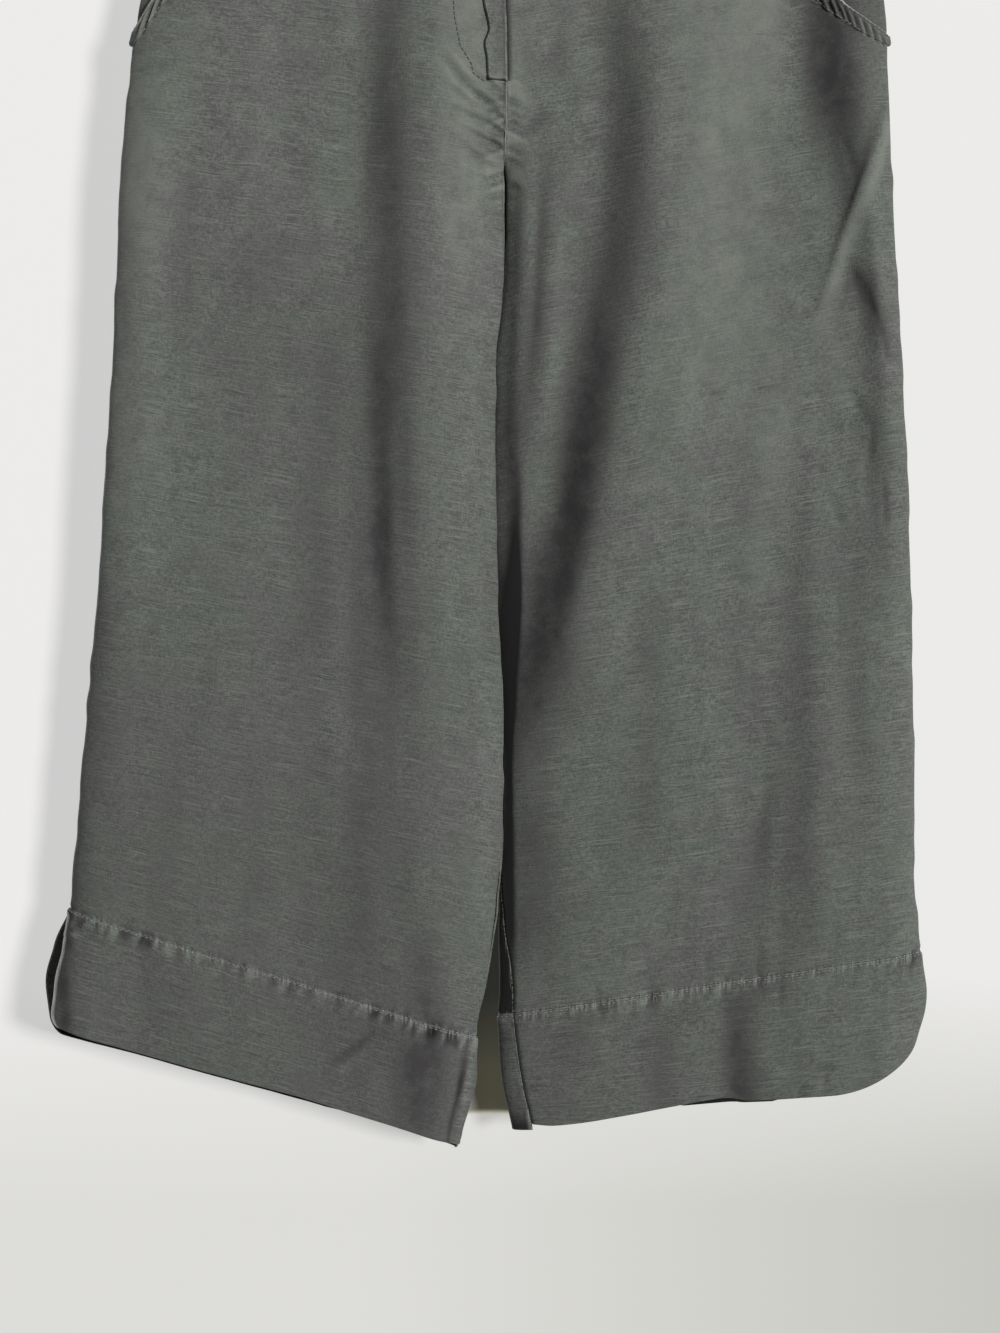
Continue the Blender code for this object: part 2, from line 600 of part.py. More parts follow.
def make_fly(trim, inside):
    """The strip along the fly's open edge and the underlap behind the fly."""
    guard_columns = len(INNER_COLUMNS) + 1
    strip_columns = guard_columns - 1
    near_turns, near_rows = piece_grid("left", "front", panel_drops("left"))
    count = int(np.sum(near_rows[:, 0] < FLY_END_DROP + SAME_ROW))
    near_turns = near_turns[:count, -guard_columns:]
    near_rows = near_rows[:count, -guard_columns:]
    near_points = cloth_point("left", "front", near_turns, near_rows)
    near_inward = cloth_inward("left", "front", near_turns, near_rows)

    far_turns, far_rows = piece_grid("right", "front", panel_drops("right"))
    far_turns = far_turns[:count, -2:-guard_columns - 1:-1]
    far_rows = far_rows[:count, -2:-guard_columns - 1:-1]
    far_points = cloth_point("right", "front", far_turns, far_rows)
    far_inward = cloth_inward("right", "front", far_turns, far_rows)

    edge = near_points[:, -1:]
    edge_inward = (near_inward[:, -1:] + far_inward[:, :1]) / 2
    lap = edge + (far_points[:, :1] - edge) * (FLY_BAND_OVERLAP / INNER_COLUMNS[-1])
    strip = np.concatenate([near_points[:, -strip_columns:], lap], axis=1)
    strip_inward = [near_inward[:, -strip_columns:-1], edge_inward, far_inward[:, :1]]
    strip_inward = np.concatenate(strip_inward, axis=1)
    add_wall("fly_band", strip - strip_inward * (SEAM_GAP + TRIM_THICKNESS),
             strip - strip_inward * SEAM_GAP, trim)

    guard = np.concatenate([near_points, far_points], axis=1)
    guard_inward = np.concatenate([near_inward[:, :-1], edge_inward, far_inward], axis=1)
    depth = CLOTH_WALL + FLY_GUARD_GAP
    add_wall("fly_guard", guard + guard_inward * depth,
             guard + guard_inward * (depth + CLOTH_WALL), inside)


def waistband_stations():
    """Places round the waist from the lap's end to the underlap's end, with their shift inwards."""
    lap = np.linspace(LAP_END, -WAIST_FRONT_REACH, WAIST_LAP_COLUMNS)
    stations = [("front", x, 0.0) for x in lap]
    stations += [("left front", turn, 0.0) for turn in WAIST_SIDE_TURNS]
    stations += [("left back", turn, 0.0) for turn in WAIST_BACK_TURNS]
    stations += [("right back", turn, 0.0) for turn in reversed(WAIST_BACK_TURNS)]
    stations += [("right front", turn, 0.0) for turn in reversed(WAIST_SIDE_TURNS)]
    flat = np.linspace(WAIST_FRONT_REACH, UNDERLAP_START, WAIST_FRONT_COLUMNS)
    stations += [("front", x, 0.0) for x in flat[:-1]]
    for x in np.linspace(UNDERLAP_START, UNDERLAP_END, WAIST_UNDERLAP_COLUMNS):
        sink = float(ease((UNDERLAP_START - x) / UNDERLAP_SLOPE))
        stations.append(("front", x, UNDERLAP_SHIFT * sink))
    return stations


def make_waistband(material):
    """One band round the waist, lapped at the centre front."""
    drops = np.linspace(0.0, WAIST_SEAM_DROP - HALF_GAP, 3)
    outer = []
    inner = []
    for place, where, shift in waistband_stations():
        if place == "front":
            points, inward = hip_front(np.full(drops.shape, where), drops)
        else:
            leg, face = place.split()
            turns = np.full(drops.shape, where)
            points = cloth_point(leg, face, turns, drops)
            inward = cloth_inward(leg, face, turns, drops)
        outer.append(points + inward * (shift - WAISTBAND_PROUD))
        inner.append(points + inward * (shift - WAISTBAND_PROUD + WAISTBAND_WALL))
    add_wall("waistband", np.array(outer), np.array(inner), material)


def turned_button(name, material):
    """A button blank turned about Y: a raised rim round a shallow dish."""
    data = bmesh.new()
    corners = [data.verts.new((BUTTON_RADIUS * point.across, -BUTTON_THICKNESS * point.forward, 0.0))
               for point in BUTTON_SECTION]
    edges = [data.edges.new(pair) for pair in zip(corners, corners[1:])]
    bmesh.ops.spin(data, geom=corners + edges, cent=(0, 0, 0), axis=(0, 1, 0), dvec=(0, 0, 0),
                   angle=math.tau, steps=BUTTON_SIDES)
    bmesh.ops.remove_doubles(data, verts=data.verts, dist=1e-6)
    return finish_object(name, data, material)


def make_button(material):
    """The four-hole waistband button, laid on the lap."""
    drop = np.array(WAIST_SEAM_DROP / 2)
    points, inward = hip_front(np.array([BUTTON_X]), drop.reshape(1))
    seat = points[0] - inward[0] * (WAISTBAND_PROUD + SEAM_GAP)
    tilt = math.atan2(inward[0][2], inward[0][1])
    swing = math.atan2(-inward[0][0], inward[0][1])
    button = turned_button("waist_button", material)
    button.location = seat
    button.rotation_euler = (tilt, 0.0, swing)
    for k in range(BUTTON_HOLES):
        angle = math.tau * (k + 0.5) / BUTTON_HOLES
        data = bmesh.new()
        bmesh.ops.create_cone(data, cap_ends=True, segments=HOLE_SIDES, radius1=BUTTON_HOLE_RADIUS,
                              radius2=BUTTON_HOLE_RADIUS, depth=HOLE_CUTTER_LENGTH)
        cutter = finish_object(f"button_hole_cutter_{k}", data, material)
        cutter.rotation_euler = (math.pi / 2, 0.0, 0.0)
        cutter.location = (BUTTON_HOLE_SPREAD * math.cos(angle), 0.0, BUTTON_HOLE_SPREAD * math.sin(angle))
        cutter.parent = button
        cutter.hide_render = True
        cutter.display_type = "WIRE"
        cut = button.modifiers.new(f"hole {k}", "BOOLEAN")
        cut.operation = "DIFFERENCE"
        cut.solver = "EXACT"
        cut.object = cutter


def main():
    for thing in list(bpy.data.objects):
        bpy.data.objects.remove(thing, do_unlink=True)
    cloth = make_material("linen", CLOTH_COLOUR, 0.9)
    bands = make_material("hem linen", TRIM_COLOUR, 0.9)
    inside = make_material("inside linen", INSIDE_COLOUR, 0.92)
    button = make_material("button", BUTTON_COLOUR, 0.4)
    make_panels(cloth)
    make_hem_bands(bands)
    make_pockets(bands, inside)
    make_fly(bands, inside)
    make_waistband(bands)
    make_button(button)


main()
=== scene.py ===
import math

import bpy
import numpy as np
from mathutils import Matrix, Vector


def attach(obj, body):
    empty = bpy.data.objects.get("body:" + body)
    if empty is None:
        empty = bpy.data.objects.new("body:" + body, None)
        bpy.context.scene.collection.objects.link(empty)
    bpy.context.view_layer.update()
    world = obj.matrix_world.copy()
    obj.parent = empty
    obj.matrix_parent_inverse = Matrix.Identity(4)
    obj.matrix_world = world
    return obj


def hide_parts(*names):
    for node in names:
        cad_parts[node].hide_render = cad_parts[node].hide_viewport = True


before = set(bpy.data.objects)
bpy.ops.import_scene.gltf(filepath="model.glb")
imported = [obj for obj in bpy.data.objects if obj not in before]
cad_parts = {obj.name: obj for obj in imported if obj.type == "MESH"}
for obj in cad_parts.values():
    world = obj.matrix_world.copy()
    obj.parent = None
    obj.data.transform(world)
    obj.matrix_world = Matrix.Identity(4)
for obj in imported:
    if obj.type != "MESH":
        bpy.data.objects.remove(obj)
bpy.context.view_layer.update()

print("frame loaded:", len(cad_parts), "nodes")

# Left and right are as seen from the front. A place on the cloth is a turn from the side seam (0)
# to the centre or inner leg (1) and a drop below the waistband's top edge, all in metres.
levels = {
    "waistSeam": 0.035,
    "pocketEnd": 0.1856,
    "pocketStitch": 0.1916,
    "flyEnd": 0.2165,
    "crotch": 0.272,
    "band": {"left": 0.8569, "right": 0.8428},
    "hem": {"left": 0.9280, "right": 0.9190},
}
seams = {"gap": 0.0003, "wall": 0.0010, "hemWall": 0.0016, "trim": 0.0010, "solidWall": 0.0015}
section = {
    "backSideRound": 0.060,
    "leanReach": {"left": 2, "right": 6},
    "innerRound": 0.100,
    "crotchRise": 0.045,
    "slitOpen": 0.06,
    "foldHold": 0.020,
    "foldFade": 0.3,
    "creaseFade": 0.35,
    "hemCorner": {"left": (0.008, 0.010), "right": (0.064, 0.064)},
    "backFlare": {"left": 0.0076, "right": 0.0015},
    "slitGap": {"left": 0.0042, "right": 0.0},
    "strayCell": 0.013,
    "edgeStray": 0.0008,
    "gapStray": 0.0007,
    "gapStrayBelow": 0.02,
    "gapStrayFade": 0.06,
    "straySeeds": {"left": 31, "right": 37, "gap": 41},
}

# One row for each section of a leg: its drop and x at the inner end, its drop and x at the side
outlines = {
    "left": {
        "columns": ("drop", "innerX", "sideDrop", "sideX"),
        "rows": [
            (0.0000, 0.0000, 0.0000, -0.1980),
            (0.0350, 0.0000, 0.0350, -0.2030),
            (0.0900, 0.0000, 0.0900, -0.2255),
            (0.1615, 0.0000, 0.1615, -0.2446),
            (0.1856, 0.0007, 0.1856, -0.2492),
            (0.2285, 0.0010, 0.2285, -0.2539),
            (0.2720, -0.0002, 0.2720, -0.2576),
            (0.3370, 0.0006, 0.3290, -0.2606),
            (0.4027, -0.0047, 0.3859, -0.2626),
            (0.4831, -0.0054, 0.4563, -0.2673),
            (0.5635, -0.0040, 0.5266, -0.2714),
            (0.6439, -0.0003, 0.5970, -0.2774),
            (0.7176, -0.0007, 0.6586, -0.2827),
            (0.7846, -0.0060, 0.7142, -0.2874),
            (0.8214, -0.0121, 0.7444, -0.2908),
            (0.8569, -0.0190, 0.7698, -0.2925),
            (0.8817, -0.0192, 0.7946, -0.2982),
            (0.9052, -0.0246, 0.8214, -0.3040),
            (0.9280, -0.0302, 0.8510, -0.3045),
        ],
    },
    "right": {
        "columns": ("drop", "innerX", "sideDrop", "sideX"),
        "rows": [
            (0.0000, 0.0000, 0.0000, 0.2040),
            (0.0350, 0.0000, 0.0350, 0.2090),
            (0.0900, 0.0000, 0.0900, 0.2335),
            (0.1615, 0.0000, 0.1615, 0.2553),
            (0.1856, 0.0007, 0.1856, 0.2570),
            (0.2285, 0.0010, 0.2285, 0.2583),
            (0.2720, -0.0002, 0.2720, 0.2603),
            (0.3370, 0.0006, 0.3323, 0.2633),
            (0.4027, -0.0068, 0.3926, 0.2667),
            (0.4831, -0.0076, 0.4663, 0.2707),
            (0.5635, -0.0064, 0.5400, 0.2734),
            (0.6439, -0.0034, 0.6137, 0.2750),
            (0.7176, -0.0038, 0.6827, 0.2760),
            (0.7812, -0.0047, 0.7390, 0.2762),
            (0.8147, -0.0042, 0.7725, 0.2781),
            (0.8428, -0.0040, 0.7986, 0.2803),
            (0.8650, -0.0034, 0.8260, 0.2840),
            (0.8904, -0.0010, 0.8570, 0.2806),
            (0.9190, 0.0060, 0.8950, 0.2790),
        ],
    },
}

# Front and back half depths, how far the inner leg edges part, how far each side edge comes forward,
# and how far in from the side the front takes to reach its depth
depths = {
    "columns": ("drop", "front", "back", "part", "leftLean", "rightLean", "sideRound"),
    "rows": [
        (0.000, 0.0100, 0.0110, 0.0000, 0.0000, 0.0000, 0.060),
        (0.035, 0.0110, 0.0125, 0.0000, 0.0000, 0.0000, 0.060),
        (0.090, 0.0150, 0.0175, 0.0000, 0.0050, 0.0060, 0.048),
        (0.162, 0.0180, 0.0215, 0.0000, 0.0090, 0.0100, 0.038),
        (0.272, 0.0190, 0.0230, 0.0000, 0.0110, 0.0120, 0.035),
        (0.345, 0.0195, 0.0235, 0.0055, 0.0110, 0.0120, 0.035),
        (0.420, 0.0200, 0.0240, 0.0075, 0.0110, 0.0110, 0.035),
        (0.564, 0.0205, 0.0230, 0.0075, 0.0100, 0.0080, 0.035),
        (0.718, 0.0215, 0.0225, 0.0070, 0.0090, 0.0060, 0.035),
        (0.785, 0.0215, 0.0220, 0.0055, 0.0080, 0.0050, 0.035),
        (0.857, 0.0210, 0.0220, 0.0030, 0.0070, 0.0050, 0.035),
        (0.928, 0.0215, 0.0225, 0.0020, 0.0070, 0.0050, 0.035),
    ],
}

# How far the back cloth comes round to the front
turnedSeams = {
    "left": {
        "columns": ("drop", "width"),
        "rows": [(0.40, 0.0), (0.56, 0.0016), (0.78, 0.0018), (0.8569, 0.0)],
    },
    "right": {
        "columns": ("drop", "width"),
        "rows": [
            (0.7176, 0.0),
            (0.7812, 0.0070),
            (0.8147, 0.0122),
            (0.8428, 0.0138),
            (0.8904, 0.0168),
            (0.9190, 0.0170),
        ],
    },
}

# Large soft folds: startX, startDrop, bendX, endX, endDrop, height, width to the left and right
largeFolds = {
    "front": [
        (-0.062, 0.060, -0.068, -0.046, 0.700, 0.0062, 0.020, 0.045),
        (-0.096, 0.070, -0.102, -0.088, 0.640, -0.0032, 0.026, 0.018),
        (-0.052, 0.500, -0.050, -0.046, 1.020, 0.0030, 0.024, 0.030),
        (-0.180, 0.330, -0.200, -0.235, 1.000, 0.0030, 0.030, 0.036),
        (-0.130, 0.560, -0.135, -0.128, 1.020, -0.0026, 0.028, 0.028),
        (0.098, 0.050, 0.119, 0.004, 0.720, 0.0088, 0.022, 0.050),
        (0.066, 0.060, 0.085, -0.010, 0.660, -0.0045, 0.020, 0.018),
        (0.012, 0.230, 0.014, 0.006, 0.560, 0.0030, 0.012, 0.016),
        (0.207, 0.080, 0.268, 0.268, 0.600, 0.0055, 0.018, 0.020),
        (0.178, 0.080, 0.244, 0.242, 0.600, -0.0042, 0.030, 0.016),
        (0.206, 0.420, 0.208, 0.212, 0.860, 0.0026, 0.012, 0.026),
        (0.170, 0.600, 0.158, 0.150, 1.020, -0.0030, 0.024, 0.024),
        (0.104, 0.740, 0.104, 0.108, 1.020, -0.0026, 0.016, 0.020),
    ],
    "back": [
        (-0.060, 0.060, -0.066, -0.050, 0.640, -0.0040, 0.026, 0.024),
        (-0.120, 0.120, -0.128, -0.110, 1.020, 0.0044, 0.030, 0.036),
        (-0.190, 0.300, -0.200, -0.215, 1.000, -0.0036, 0.024, 0.028),
        (-0.046, 0.500, -0.050, -0.070, 1.020, 0.0030, 0.020, 0.024),
        (0.066, 0.070, 0.070, 0.044, 0.600, -0.0036, 0.024, 0.026),
        (0.130, 0.090, 0.126, 0.118, 0.980, 0.0048, 0.034, 0.030),
        (0.196, 0.340, 0.206, 0.202, 1.020, -0.0032, 0.026, 0.024),
        (0.060, 0.600, 0.056, 0.064, 1.020, 0.0030, 0.024, 0.020),
    ],
}

# Creases laid one by one: startX, startDrop, endX, endDrop, bow, height, width before and after the line
creases = {
    "left": [
        # drag lines that run into the crotch seam
        (-0.0450, 0.1840, 0.0160, 0.2450, -0.0060, 0.0012, 0.0026, 0.0026),
        (-0.0470, 0.1925, 0.0160, 0.2510, -0.0060, -0.0014, 0.0022, 0.0022),
        (-0.0490, 0.1980, 0.0160, 0.2570, -0.0060, 0.0011, 0.0028, 0.0028),
        (-0.0300, 0.2000, 0.0200, 0.2350, -0.0006, 0.0011, 0.0016, 0.0016),
        (-0.0340, 0.2094, 0.0200, 0.2400, -0.0010, -0.0009, 0.0013, 0.0013),
        (-0.0430, 0.2130, 0.0220, 0.2490, -0.0020, 0.0016, 0.0018, 0.0018),
        (-0.0410, 0.2200, 0.0220, 0.2535, -0.0016, -0.0009, 0.0014, 0.0014),
        (-0.0420, 0.2262, 0.0220, 0.2580, -0.0016, 0.0014, 0.0017, 0.0017),
        (-0.0310, 0.2340, 0.0200, 0.2590, -0.0010, -0.0008, 0.0013, 0.0013),
        (-0.0360, 0.2395, 0.0200, 0.2660, -0.0012, 0.0013, 0.0018, 0.0018),
        (-0.0270, 0.2480, 0.0180, 0.2690, -0.0008, -0.0008, 0.0013, 0.0013),
        (-0.0320, 0.2530, 0.0140, 0.2790, -0.0010, 0.0009, 0.0020, 0.0020),
        (-0.0480, 0.2410, 0.0040, 0.2830, -0.0030, -0.0008, 0.0045, 0.0050),
        # small crisp gathers beside the crotch's seam
        (-0.0200, 0.2120, -0.0030, 0.2190, 0.0010, 0.0014, 0.0020, 0.0018),
        (-0.0260, 0.2240, -0.0030, 0.2365, 0.0010, -0.0012, 0.0018, 0.0018),
        (-0.0200, 0.2200, -0.0020, 0.2290, 0.0008, 0.0013, 0.0020, 0.0017),
        (-0.0120, 0.2385, -0.0010, 0.2420, 0.0000, 0.0014, 0.0018, 0.0017),
        (-0.0300, 0.2375, -0.0030, 0.2475, 0.0010, -0.0012, 0.0019, 0.0018),
        (-0.0170, 0.2470, -0.0020, 0.2530, 0.0006, 0.0013, 0.0018, 0.0018),
        (-0.0180, 0.2670, -0.0030, 0.2730, 0.0010, 0.0014, 0.0020, 0.0018),
        (-0.0110, 0.2560, -0.0010, 0.2600, 0.0004, -0.0012, 0.0017, 0.0018),
        # short creases at the side seam
        (-0.2570, 0.2097, -0.2378, 0.2103, 0.0000, -0.0010, 0.0009, 0.0011),
        (-0.2450, 0.2200, -0.2240, 0.2220, 0.0000, -0.0007, 0.0010, 0.0010),
        (-0.2560, 0.2000, -0.2420, 0.1960, 0.0000, -0.0007, 0.0010, 0.0012),
        # the slit's corner and the fold beside the inner edge of the hem
        (-0.3060, 0.7872, -0.2740, 0.7868, 0.0000, 0.0009, 0.0012, 0.0012),
        (-0.2900, 0.7890, -0.2660, 0.7720, 0.0000, 0.0009, 0.0012, 0.0012),
        (-0.0262, 0.8500, -0.0385, 0.9550, 0.0000, -0.0011, 0.0022, 0.0016),
    ],
    "right": [
        # wrinkles below the hip
        (0.2260, 0.3330, 0.2515, 0.3880, 0.0015, -0.0013, 0.0030, 0.0030),
        (0.2505, 0.3800, 0.2565, 0.4080, 0.0000, -0.0011, 0.0020, 0.0022),
        (0.2290, 0.4170, 0.2450, 0.4500, -0.0010, -0.0010, 0.0022, 0.0026),
        (0.2455, 0.4400, 0.2430, 0.4760, 0.0000, -0.0011, 0.0016, 0.0020),
        (0.2104, 0.4200, 0.2112, 0.4440, 0.0000, -0.0009, 0.0012, 0.0014),
        (0.2140, 0.4800, 0.2290, 0.5220, -0.0010, -0.0009, 0.0016, 0.0020),
        (0.2520, 0.4780, 0.2550, 0.5200, 0.0000, -0.0010, 0.0018, 0.0020),
        (0.2360, 0.4560, 0.2370, 0.5050, 0.0000, 0.0008, 0.0020, 0.0020),
        (0.2200, 0.5300, 0.2230, 0.6100, 0.0015, -0.0008, 0.0020, 0.0024),
        (0.1760, 0.6600, 0.1640, 0.7600, 0.0030, -0.0008, 0.0030, 0.0040),
        (0.1850, 0.7000, 0.1800, 0.7900, -0.0030, 0.0007, 0.0030, 0.0030),
        (0.1280, 0.7300, 0.1180, 0.8200, 0.0020, -0.0007, 0.0030, 0.0030),
        # ripples above and below the hem's seam
        (0.1340, 0.7850, 0.1365, 0.8300, 0.0010, -0.0010, 0.0020, 0.0024),
        (0.1500, 0.7900, 0.1500, 0.8150, -0.0010, 0.0010, 0.0018, 0.0018),
        (0.1690, 0.7780, 0.1705, 0.8350, 0.0010, -0.0011, 0.0022, 0.0022),
        (0.1850, 0.8000, 0.1835, 0.8420, 0.0000, -0.0009, 0.0016, 0.0020),
        (0.0960, 0.8000, 0.0980, 0.8400, 0.0000, -0.0009, 0.0020, 0.0024),
        (0.0600, 0.8150, 0.0660, 0.8500, 0.0000, -0.0008, 0.0020, 0.0020),
        (0.2340, 0.8110, 0.2750, 0.7740, -0.0020, 0.0010, 0.0013, 0.0016),
        (0.2310, 0.8080, 0.2700, 0.7730, -0.0020, -0.0006, 0.0016, 0.0014),
        (0.1980, 0.8800, 0.1975, 0.9120, 0.0000, -0.0009, 0.0020, 0.0020),
        (0.2140, 0.8700, 0.2150, 0.9050, 0.0000, -0.0007, 0.0018, 0.0022),
    ],
    "front": [
        # streaks down the left leg
        (-0.092, 0.370, -0.080, 0.640, 0.002, -0.0010, 0.006, 0.007),
        (-0.073, 0.400, -0.070, 0.600, -0.002, 0.0009, 0.006, 0.006),
        (-0.118, 0.420, -0.112, 0.760, 0.004, 0.0008, 0.010, 0.012),
        (-0.215, 0.230, -0.222, 0.430, 0.003, -0.0010, 0.010, 0.014),
        (-0.160, 0.140, -0.166, 0.330, -0.003, 0.0008, 0.014, 0.012),
        (0.0330, 0.2350, 0.0030, 0.2640, -0.0020, -0.0008, 0.0045, 0.0045),
        # right leg beside the centre
        (0.0150, 0.2400, 0.0034, 0.5000, 0.0010, 0.0008, 0.0050, 0.0050),
        (0.0270, 0.2500, 0.0114, 0.4600, 0.0020, -0.0010, 0.0045, 0.0045),
        (0.0420, 0.2700, 0.0230, 0.4800, 0.0010, 0.0008, 0.0060, 0.0070),
        (0.0480, 0.3600, 0.0320, 0.6000, 0.0030, -0.0008, 0.0080, 0.0080),
        # sharp crease below the right hip and its branch
        (0.2700, 0.1900, 0.2000, 0.3990, 0.0000, 0.0023, 0.0022, 0.0080),
        (0.2250, 0.2520, 0.2340, 0.2860, 0.0006, -0.0008, 0.0026, 0.0022),
        (0.2440, 0.3300, 0.2360, 0.4100, 0.0010, -0.0010, 0.0060, 0.0060),
        # right leg's middle and side
        (0.1780, 0.3400, 0.1640, 0.6200, 0.0040, 0.0009, 0.0120, 0.0140),
        (0.2300, 0.4600, 0.2380, 0.7400, -0.0020, -0.0009, 0.0080, 0.0100),
        (0.0900, 0.5200, 0.0860, 0.7800, 0.0030, -0.0010, 0.0100, 0.0120),
        # hem bands
        (-0.1240, 0.8760, -0.0820, 0.8480, -0.0016, -0.0013, 0.0024, 0.0028),
        (-0.1200, 0.8820, -0.0900, 0.8640, -0.0010, 0.0008, 0.0030, 0.0030),
        (0.0120, 0.8390, 0.0300, 0.8310, 0.0004, -0.0008, 0.0018, 0.0022),
        (0.0120, 0.8420, 0.0270, 0.8420, 0.0004, -0.0007, 0.0018, 0.0022),
        (-0.2960, 0.7720, -0.2800, 0.7860, 0.0016, -0.0010, 0.0018, 0.0020),
        (-0.2950, 0.7790, -0.2830, 0.7930, 0.0014, 0.0008, 0.0016, 0.0018),
        (-0.2980, 0.7860, -0.2880, 0.7990, 0.0012, -0.0008, 0.0016, 0.0018),
        (0.2720, 0.7980, 0.2560, 0.8120, -0.0014, -0.0008, 0.0020, 0.0024),
    ],
    "back": [
        # soft lines under the seat
        (-0.0050, 0.2560, -0.0700, 0.2220, 0.0050, -0.0015, 0.0060, 0.0060),
        (-0.0060, 0.2700, -0.0900, 0.2660, 0.0060, 0.0012, 0.0080, 0.0080),
        (0.0050, 0.2540, 0.0760, 0.2260, 0.0050, -0.0014, 0.0060, 0.0060),
        (0.0060, 0.2720, 0.0840, 0.2760, 0.0050, 0.0010, 0.0080, 0.0080),
        # streaks down the legs
        (-0.0900, 0.3000, -0.0840, 0.5600, 0.0030, -0.0012, 0.0070, 0.0090),
        (-0.1540, 0.3600, -0.1620, 0.6600, 0.0040, 0.0010, 0.0100, 0.0120),
        (-0.2380, 0.2400, -0.2300, 0.4000, -0.0030, -0.0014, 0.0060, 0.0080),
        (0.0320, 0.3100, 0.0260, 0.5200, 0.0020, 0.0012, 0.0060, 0.0070),
        (0.0980, 0.3400, 0.0920, 0.6400, 0.0030, -0.0010, 0.0090, 0.0100),
        (0.1680, 0.4000, 0.1740, 0.7200, -0.0040, 0.0009, 0.0120, 0.0120),
        (0.2400, 0.2300, 0.2260, 0.3600, 0.0020, -0.0016, 0.0040, 0.0070),
        # hem bands
        (-0.1900, 0.8560, -0.1640, 0.8400, 0.0010, -0.0010, 0.0026, 0.0030),
        (0.1200, 0.8620, 0.1400, 0.8840, 0.0010, -0.0010, 0.0026, 0.0030),
    ],
}
